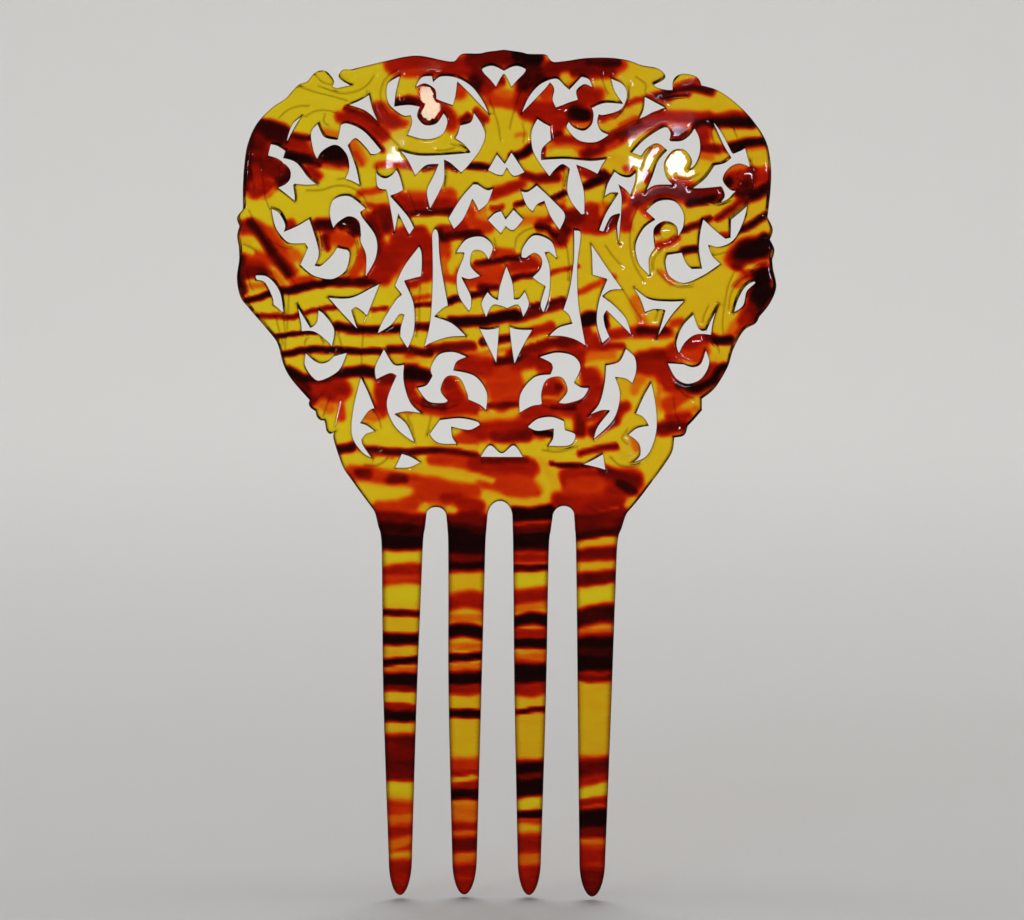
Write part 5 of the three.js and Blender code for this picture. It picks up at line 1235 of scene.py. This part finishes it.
    (GOLD, 0.6, [(-16, 13.3), (-9, 12.9), (-6, 13)]),
    (CRIMSON, 0.8, [(18.6, 11.2), (22, 12), (27, 12.6)]),
    (ORANGE, 1.2, [(31.6, 14.4), (32.4, 12.4)]),
    (BLACK, 1.3, [(-50.6, 27.8), (-47, 26.6), (-42.6, 26.6), (-38, 28.8), (-33, 29.9), (-29.6, 29.6)]),
    (RED, 3, [(-44.6, 23.6), (-41, 24), (-38.4, 25)]),
    (CRIMSON, 1.2, [(-46.6, 24.6), (-44.6, 21.6)]),
    (BROWN, 0.8, [(-50, 27), (-46, 24.8)]),
    (ORANGE, 1.4, [(-42.4, 21), (-40.6, 20)]),
    (SCARLET, 1.1, [(-37.6, 22.4), (-37.8, 18.4)]),
    (RED, 1.9, [(-28, 27.6), (-28, 24), (-28.6, 20.6)]),
    (CRIMSON, 1.4, [(-28.4, 28.4), (-26, 28.8)]),
    (ORANGE, 1.2, [(-31.4, 19.4), (-29.6, 19)]),
    (ORANGE, 0.8, [(-24.4, 20.8), (-21, 20.6)]),
    (RED, 2, [(21, 38), (23.6, 37.2)]),
    (ORANGE, 1.4, [(21, 34.6), (26.6, 34.8)]),
    (RED, 0.8, [(24.4, 36.9), (28.6, 36.8)]),
    (GOLD, 0.9, [(20.6, 32.6), (22.6, 32.6)]),
    (RED, 2.2, [(21.6, 29.6), (22.4, 26.4)]),
    (CRIMSON, 2, [(33, 33.4), (36, 33.8), (39, 33.6)]),
    (RED, 2.2, [(33.6, 31.4), (38, 30.6), (39.4, 27)]),
    (ORANGE, 1.6, [(32.6, 28.4), (31.4, 26)]),
    (GOLD, 1.4, [(29.4, 28), (29.4, 25)]),
    (RED, 2.4, [(41.6, 34.4), (44, 36), (47.6, 36.8)]),
    (SCARLET, 1.4, [(43.4, 33.4), (47, 32.6), (48.4, 34.4)]),
    (CRIMSON, 1, [(49.6, 37.4), (52, 36.4), (55, 36)]),
    (BLACK, 0.8, [(51.4, 36.2), (54.6, 36.2)]),
    (RED, 1.8, [(50.6, 29.4), (47.6, 25.4), (43, 25), (40.4, 27.4)]),
    (BLACK, 1, [(53, 29.6), (50.6, 26.6), (46.6, 25.2), (42.4, 26.2)]),
    (GOLD, 0.8, [(50.8, 32.6), (53, 32)]),
    (SCARLET, 2.2, [(42.6, 23.6), (40, 22)]),
    (GOLD, 0.8, [(43.6, 21.6), (47, 22)]),
    (ORANGE, 0.9, [(42.4, 20), (46, 20)]),
    (CRIMSON, 1.9, [(38.4, 16.4), (42.6, 16.8)]),
    (RED, 1, [(39.6, 19), (44.6, 18.6)]),
    (ORANGE, 0.6, [(37.4, 26), (37.4, 21)]),
    (RED, 1.5, [(29, 22), (27, 19.6)]),
    (CRIMSON, 1.6, [(26, 18.8), (22, 16.6)]),
    (RED, 1.8, [(20.4, 21), (22.6, 21)]),
    # band
    (SCARLET, 1.9, [(-35, 5), (-31, 5.6), (-26, 5), (-18, 4), (-6, 2.6)]),
    (SCARLET, 2.4, [(-18, 1.6), (-10, 1)]),
    (SCARLET, 1.5, [(-16, 9.4), (-8, 9.4)]),
    (SCARLET, 3.4, [(-2, 5.6), (5, 5.4)]),
    (RED, 2, [(-6, 9), (0, 8.4), (7, 8.4)]),
    (CRIMSON, 0.8, [(-4, 9.9), (6, 9.8)]),
    (SCARLET, 2, [(2, 3), (8, 3)]),
    (CRIMSON, 1.1, [(-33, 5.2), (-31, 5.4)]),
    (CRIMSON, 1.2, [(-25.6, 4.8), (-22.6, 4.8)]),
    (GOLD, 0.75, [(-23, 7.2), (-16, 7.1), (-10, 6.8), (-5, 6), (-2, 4.9)]),
    (RED, 3.6, [(17, 5), (24, 3.4), (30, 4)]),
    (SCARLET, 2, [(17, 3.6), (22.6, 3.4)]),
    (CRIMSON, 1.5, [(24, 7.2), (29, 4.8), (32, 4)]),
    (BROWN, 1, [(27.6, 4.2), (31, 1.6)]),
    (BROWN, 0.5, [(12, 9.2), (18, 8.3), (23, 8)]),
    (GOLD, 1, [(9.4, 10), (11.4, 7), (12.8, 4), (13, 2)]),
    (RED, 2.2, [(14, 0), (20, -1), (28, -1.4)]),
    (SCARLET, 1.8, [(-28, -2.4), (-24, -2.4), (-20, -1)]),
    (RED, 1.6, [(-9, -0.6), (-5, -1.4)]),
    (RED, 1.2, [(-13, 0.6), (-10, 1)]),
    (CRIMSON, 2, [(-8.6, -4.2), (-5, -4.4)]),
    (GOLD, 0.45, [(-18.2, -2.6), (-17.4, -0.8)]),
    (GOLD, 0.45, [(-12, -1.6), (-11.4, -4)]),
    (BLACK, 1.6, [(3.6, -2.4), (7, -3), (11, -2.4)]),
    (GOLD, 0.6, [(-3, 1.8), (0, 1.4), (3, -0.1), (7, -0.3), (10.4, -0.3)]),
    (ORANGE, 0.3, [(20, -3.1), (24, -2.5), (27.4, -2)]),
    (GOLD, 0.8, [(29.8, -1.8), (31, -0.4)]),
]
# Bands across each tine: tone, half width, height at its left edge and at its right edge, and
# where it arches, how far its middle lies higher.
TINE_BANDS = [
    [(CRIMSON, 1.6, -5, -4.6), (BROWN, 1.2, -7, -7), (BLACK, 1.9, -10.2, -9.8),
     (YELLOW, 1.8, -14.6, -14.2), (RED, 2.4, -18.8, -17.8, 0.8), (SCARLET, 0.8, -18.4, -18.6),
     (YELLOW, 1.7, -23.6, -21.6), (BROWN, 0.7, -26.9, -26.2), (BLACK, 1.3, -32.4, -32.4),
     (GOLD, 1.1, -35.7, -35.5), (BLACK, 0.8, -37.9, -37.3), (ORANGE, 0.8, -39.9, -39.4),
     (BLACK, 1.4, -41.8, -41.8), (CRIMSON, 0.7, -43.4, -43.2, -0.6), (RED, 0.8, -48.2, -48, 0.4),
     (BLACK, 1.2, -50, -49.6), (CRIMSON, 5.5, -59.4, -59.2), (YELLOW, 1, -66, -65.8),
     (SCARLET, 6, -74.6, -74.6), (ORANGE, 0.9, -73.4, -72.2), (RED, 1, -76.2, -75.2),
     (ORANGE, 1.1, -79.6, -77.2), (RED, 4, -86, -86)],
    [(CRIMSON, 1.4, -4.4, -4.6), (BROWN, 1.2, -6.6, -6.6), (BLACK, 4.6, -11.8, -11.6),
     (CRIMSON, 1.1, -13.6, -13), (RED, 2, -24.4, -24, 1), (ORANGE, 0.9, -27.6, -27.2),
     (BLACK, 1.4, -31.2, -31, 1), (ORANGE, 0.9, -33.9, -33.5), (BLACK, 0.9, -36.4, -35.9),
     (ORANGE, 0.9, -38.8, -38.4), (BLACK, 1.6, -41.2, -41.2), (RED, 1.2, -43, -43, -1.2),
     (BLACK, 0.9, -49.4, -49.1), (SCARLET, 2.2, -61, -60.8, -0.4), (RED, 0.7, -62.8, -62.4),
     (GOLD, 0.5, -64.8, -63.4), (RED, 0.8, -66, -65), (BLACK, 1.2, -67.6, -67.4),
     (ORANGE, 2.4, -72, -71.4), (RED, 1.2, -75, -74.4), (ORANGE, 0.8, -76.6, -75.8),
     (CRIMSON, 1.8, -79, -78.4), (ORANGE, 1, -82, -81.6), (RED, 4, -87, -87)],
    [(BLACK, 1.2, -3.6, -3.4), (CRIMSON, 1, -6.4, -6), (BLACK, 2.3, -9.6, -9.2),
     (RED, 1, -13.6, -12.8), (BROWN, 0.8, -15.8, -15.2), (YELLOW, 1.5, -18.4, -17.8),
     (RED, 1.9, -22.6, -21.6), (ORANGE, 0.9, -25, -24.4), (BLACK, 1.4, -28.6, -28.4, 1),
     (RED, 0.9, -31, -30.6), (BLACK, 1.1, -33.2, -32.8), (ORANGE, 1, -36.2, -35.8),
     (BLACK, 2.4, -39.8, -39.8), (RED, 1.4, -42.6, -42.6, -1.4), (BROWN, 0.6, -49, -48),
     (BLACK, 4.2, -64, -63.6), (CRIMSON, 0.9, -63.3, -62.9), (YELLOW, 1.1, -70, -68.6),
     (BLACK, 0.9, -72.4, -71.6), (SCARLET, 0.7, -73.8, -73.2), (GOLD, 0.8, -75.2, -74.6),
     (RED, 2.4, -78.6, -78), (ORANGE, 1, -81.8, -81.4), (RED, 4, -87, -87)],
    [(CRIMSON, 3, -5.4, -4.8), (BROWN, 0.9, -8.6, -7.4), (GOLD, 0.7, -10.8, -9),
     (CRIMSON, 1.5, -13.2, -12.2), (GOLD, 1, -15.9, -15), (CRIMSON, 1.5, -18.8, -17.2),
     (YELLOW, 1.8, -23, -20.8), (BROWN, 2.2, -27.8, -27.2, 1), (ORANGE, 0.8, -30.8, -30.4),
     (BLACK, 4, -35.8, -35.2), (BROWN, 1, -35.4, -35), (CRIMSON, 0.9, -40.4, -39.8, -0.8),
     (RED, 4.4, -63.4, -62.6), (CRIMSON, 1.6, -61.8, -59.6), (YELLOW, 1.5, -67.4, -64.6),
     (RED, 0.9, -69, -68.2), (BLACK, 2.4, -73, -72.4), (CRIMSON, 1.2, -76.2, -75.4),
     (ORANGE, 0.9, -78.6, -77.4), (RED, 2, -81, -80.6), (CRIMSON, 4, -87, -87)],
]


SOFTNESS = 1.1             # width of a stroke's soft edge, in half widths
GREATEST_SOFTNESS = 2.3    # and at most, in millimetres
# What makes the strokes waver across and up: size, rate across, rate up and phase.
WAVER_ACROSS = [(0.25, 0.5, 0.9, 0.0), (0.12, 1.9, 0.7, 1.0)]
WAVER_UP = [(0.22, 0.35, -0.3, 0.0), (0.07, 1.3, 0.9, 0.0)]
GROUND_TONE = 0.015        # tone of the ground at the left of the crest
RIGHT_TONE = 0.08          # how much darker it is at the right
TINE_TONE = 0.06           # and how much darker on the tines
CREST_HALF_WIDTH = 65
TINE_TONE_START = 10       # height from which the ground darkens towards the tines
TINE_TONE_RUN = 20
BANDS_START = 2            # height above a tine at which its bands begin to fade in
TINE_MARGIN = 1            # how far past its edges a tine's bands are laid


def covered(away, half_width):
    """How far a stroke covers points at these distances from its middle line, from 0 to 1."""
    soft = min(SOFTNESS * half_width, GREATEST_SOFTNESS)
    share = np.clip((half_width + soft / 2 - away) / soft, 0, 1)
    return share * share * (3 - 2 * share)


def paint(across, up):
    """Tone of the sheet at each point: soft strokes laid over each other on a yellow ground."""
    points = np.stack([across + ripple(across, up, WAVER_ACROSS),
                       up + ripple(across, up, WAVER_UP)], 1)
    rightness = (1 + across / CREST_HALF_WIDTH) / 2
    lowness = np.clip((TINE_TONE_START - up) / TINE_TONE_RUN, 0, 1)
    tone = GROUND_TONE + RIGHT_TONE * rightness + TINE_TONE * lowness
    for value, half_width, line in STROKES:
        line = np.array(line, float)
        nearest = np.hypot(*(points - line[0]).T)
        for a, b in zip(line[:-1], line[1:]):
            along = np.clip((points - a) @ (b - a) / ((b - a) @ (b - a)), 0, 1)
            nearest = np.minimum(nearest, np.hypot(*(points - a - along[:, None] * (b - a)).T))
        tone = tone + (value - tone) * covered(nearest, half_width)
    for (left, right), bands in zip(TINES, TINE_BANDS):
        top = BAND_BOTTOM + BANDS_START
        mine = (across > left[0] - TINE_MARGIN) & (across < right[0] + TINE_MARGIN) & (up < top)
        share = (across[mine] - left[0]) / (right[0] - left[0])
        fade = np.clip((top - up[mine]) / BANDS_START, 0, 1)
        own = tone[mine]
        bulge = 4 * share * (1 - share)    # 0 at the edges of the tine and 1 half way across
        for value, half_width, low, high, *arch in bands:
            middle = low + (high - low) * share + sum(arch) * bulge
            cover = covered(np.abs(points[mine, 1] - middle), half_width) * fade
            own = own + (value - own) * cover
        tone[mine] = own
    return tone


# ------------------------------------------------------------------ material
def node(tree, kind, inputs=(), **settings):
    """A shader node with its settings, and values or links on its inputs."""
    made = tree.nodes.new(kind)
    for name, value in settings.items():
        setattr(made, name, value)
    for socket, value in dict(inputs).items():
        if isinstance(value, bpy.types.NodeSocket):
            tree.links.new(value, made.inputs[socket])
        else:
            made.inputs[socket].default_value = value
    return made


# Colours of the sheet by tone, from the clearest to the darkest, in linear light.
TONE_COLOURS = [
    (0.00, (0.95, 0.75, 0.015)),
    (0.15, (0.95, 0.5, 0.01)),
    (0.25, (0.95, 0.2, 0.004)),
    (0.36, (0.84, 0.045, 0.0015)),
    (0.50, (0.54, 0.011, 0.001)),
    (0.65, (0.24, 0.004, 0.0008)),
    (0.80, (0.07, 0.002, 0.0008)),
    (0.96, (0.012, 0.001, 0.0006)),
]
PAINTED_SHADE_TINT = (0.3, 0.16, 0.06)       # colour of the painted shade that the carved lines and cut edges are multiplied by
CLOUD_SCALE = (0.12, 0.34, 0.12)    # the cloudiness is drawn out across the sheet
CLOUD_LEAST = 0.1                   # how much it changes the clearest tone
CLOUD_GROWTH = 0.45                 # and how much more the darkest
CLOUD_MIDDLE = 0.5                  # mean of the noise
SHEET_ROUGHNESS = 0.035
SHEET_IOR = 1.49


def tortoiseshell():
    """See-through glossy sheet, coloured by the tone stored on it and clouded by a noise."""
    material = bpy.data.materials.new("tortoiseshell")
    material.use_nodes = True
    tree = material.node_tree
    tree.nodes.clear()
    sheet = node(tree, "ShaderNodeAttribute", attribute_name="sheet").outputs["Vector"]
    tone = node(tree, "ShaderNodeAttribute", attribute_name="tone").outputs["Fac"]
    line = node(tree, "ShaderNodeAttribute", attribute_name="line").outputs["Fac"]
    stretch = node(tree, "ShaderNodeMapping", {"Vector": sheet, "Scale": CLOUD_SCALE})
    cloud = node(tree, "ShaderNodeTexNoise", {
        "Vector": stretch.outputs[0], "Scale": 1.0, "Detail": 4.0, "Roughness": 0.55,
        "Distortion": 0.6})
    amount = node(tree, "ShaderNodeMath", {0: tone, 1: CLOUD_GROWTH, 2: CLOUD_LEAST},
                  operation="MULTIPLY_ADD").outputs[0]
    swing = node(tree, "ShaderNodeMath", {0: cloud.outputs["Fac"], 1: CLOUD_MIDDLE},
                 operation="SUBTRACT").outputs[0]
    mixed = node(tree, "ShaderNodeMath", {0: swing, 1: amount, 2: tone},
                 operation="MULTIPLY_ADD").outputs[0]
    ramp = node(tree, "ShaderNodeValToRGB", {"Fac": mixed})
    stops = ramp.color_ramp.elements
    for _ in TONE_COLOURS[len(stops):]:
        stops.new(1.0)
    for stop, (position, colour) in zip(stops, TONE_COLOURS):
        stop.position = position
        stop.color = (*colour, 1)
    # Painted shade: the 'line' attribute darkens the colour along the cut edges and in the carved lines.
    # Inputs 0, 6 and 7 of a Mix node and its output 2 are its factor, its two colours and the result.
    painted_shade_mix = node(tree, "ShaderNodeMix", {
        0: line, 6: ramp.outputs["Color"], 7: (*PAINTED_SHADE_TINT, 1)}, data_type="RGBA", blend_type="MULTIPLY")
    shader = node(tree, "ShaderNodeBsdfPrincipled", {
        "Base Color": painted_shade_mix.outputs[2], "Roughness": SHEET_ROUGHNESS, "IOR": SHEET_IOR,
        "Transmission Weight": 1.0})
    node(tree, "ShaderNodeOutputMaterial", {"Surface": shader.outputs[0]})
    return material


def plain(name, colour, roughness):
    """A material of one colour."""
    material = bpy.data.materials.new(name)
    material.use_nodes = True
    shader = material.node_tree.nodes["Principled BSDF"]
    shader.inputs["Base Color"].default_value = (*colour, 1)
    shader.inputs["Roughness"].default_value = roughness
    return material


# ------------------------------------------------------------------ stage, camera and light
# Metres from here on.
FLOOR_LEVEL = cad_low.z - 0.0005    # just clear of the tips of the tines
BOWL_RADIUS = 1.3                   # where the floor begins to turn up
BOWL_BEND = 0.8
BOWL_HEIGHT = 2.6
BEND_STEPS = 16
BOWL_SIDES = 96
FLOOR_COLOUR = (0.78, 0.77, 0.755)
FLOOR_ROUGHNESS = 0.95


def backdrop():
    """A pale floor that turns up smoothly into a round wall, so it looks plain from every side."""
    angles = [math.pi / 2 * i / BEND_STEPS for i in range(BEND_STEPS + 1)]
    profile = [(0.0, 0.0)]
    profile += [(BOWL_RADIUS + BOWL_BEND * math.sin(a), BOWL_BEND * (1 - math.cos(a))) for a in angles]
    profile.append((BOWL_RADIUS + BOWL_BEND, BOWL_HEIGHT))
    around = BOWL_SIDES
    turns = [2 * math.pi * j / around for j in range(around)]
    vertices = [(r * math.cos(turn), r * math.sin(turn), FLOOR_LEVEL + z)
                for r, z in profile[1:] for turn in turns]
    vertices.append((0, 0, FLOOR_LEVEL))
    faces = [(len(vertices) - 1, j, (j + 1) % around) for j in range(around)]
    for i in range(len(profile) - 2):
        low, high = i * around, (i + 1) * around
        faces += [(low + j, high + j, high + (j + 1) % around, low + (j + 1) % around)
                  for j in range(around)]
    mesh = bpy.data.meshes.new("floor")
    mesh.from_pydata(vertices, [], faces)
    mesh.polygons.foreach_set("use_smooth", [True] * len(mesh.polygons))
    mesh.materials.append(plain("pale floor", FLOOR_COLOUR, FLOOR_ROUGHNESS))
    surface = bpy.data.objects.new("floor", mesh)
    surface.visible_glossy = False
    bpy.context.scene.collection.objects.link(surface)


CAMERA_DISTANCE = 0.65
# The camera looks at this point of the sheet, given across and up in millimetres.
CAMERA_TARGET = place(np.array([2.7]), np.array([10.1]), np.zeros(1))[0] / MM_PER_METRE
CAMERA_ELEVATION = math.radians(5.0)
CAMERA_ROLL = math.radians(0.45)
CAMERA_LENS = 98.37        # millimetres, on a sensor 36 mm wide


def camera():
    """The camera, a little above the sheet's level and turned slightly on its own axis."""
    forward = Vector((0, math.cos(CAMERA_ELEVATION), -math.sin(CAMERA_ELEVATION)))
    right = Vector((1, 0, 0))
    up = right.cross(forward)
    turned_right = math.cos(CAMERA_ROLL) * right + math.sin(CAMERA_ROLL) * up
    turned_up = math.cos(CAMERA_ROLL) * up - math.sin(CAMERA_ROLL) * right
    axes = Matrix((turned_right, turned_up, -forward)).transposed().to_4x4()
    position = Vector(CAMERA_TARGET) - CAMERA_DISTANCE * forward
    data = bpy.data.cameras.new("camera")
    data.sensor_fit = "HORIZONTAL"
    data.sensor_width = 36.0
    data.lens = CAMERA_LENS
    data.clip_start = 0.01
    data.clip_end = 50.0
    eye = bpy.data.objects.new("camera", data)
    eye.matrix_world = Matrix.Translation(position) @ axes
    bpy.context.scene.collection.objects.link(eye)
    bpy.context.scene.camera = eye


def lamp(name, start, end, target, width, watts, colour=(1, 1, 1)):
    """A long soft light from start to end that faces the target."""
    start, end, target = Vector(start), Vector(end), Vector(target)
    middle = (start + end) / 2
    along = (end - start).normalized()
    back = middle - target
    back = (back - back.dot(along) * along).normalized()
    data = bpy.data.lights.new(name, "AREA")
    data.shape = "RECTANGLE"
    data.size = (end - start).length
    data.size_y = width
    data.energy = watts
    data.color = colour
    light = bpy.data.objects.new(name, data)
    axes = Matrix((along, back.cross(along), back)).transposed().to_4x4()
    light.matrix_world = Matrix.Translation(middle) @ axes
    light.visible_camera = False
    light.visible_transmission = False
    bpy.context.scene.collection.objects.link(light)
    return light


# Small lamps that show as highlights on the sheet.  For each: its two ends, the point that it
# faces, its width, its watts and its colour.
LAMPS = {
    "window": ((-0.325, -0.566, 0.63), (-0.47, -0.47, 0.597), (0.04, 0.02, 0.08), 0.024, 0.32,
               (0.7, 0.82, 1.0)),
    "pane": ((0.25, -0.59, 0.643), (0.295, -0.58, 0.638), (-0.025, 0.02, 0.08), 0.005, 0.024,
             (0.8, 0.9, 1.0)),
    "tube": ((0.163, -0.6, 0.68), (0.21, -0.592, 0.672), (-0.018, 0.03, 0.09), 0.026, 0.085,
             (1.0, 0.84, 0.6)),
}


def world(colour, strength):
    """An even light from all round."""
    background = bpy.data.worlds.new("studio")
    background.use_nodes = True
    shader = background.node_tree.nodes["Background"]
    shader.inputs["Color"].default_value = (*colour, 1)
    shader.inputs["Strength"].default_value = strength
    bpy.context.scene.world = background


# ------------------------------------------------------------------ assembly
comb = build_comb()
comb.data.materials.append(tortoiseshell())
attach(comb, "root")
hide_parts("crest", "band", "tine_1", "tine_2", "tine_3", "tine_4")

backdrop()
camera()
world(colour=(0.97, 0.98, 1.0), strength=0.03)
# The main light falls on the sheet and the floor but isn't mirrored in the sheet.
overhead = lamp("overhead", (-1, 1.15, 2.2), (1, 1.15, 2.2), (0, 1.15, 0), 1.6, 34)
overhead.visible_glossy = False
for name, settings in LAMPS.items():
    lamp(name, *settings)
bpy.context.scene.view_settings.view_transform = "Standard"
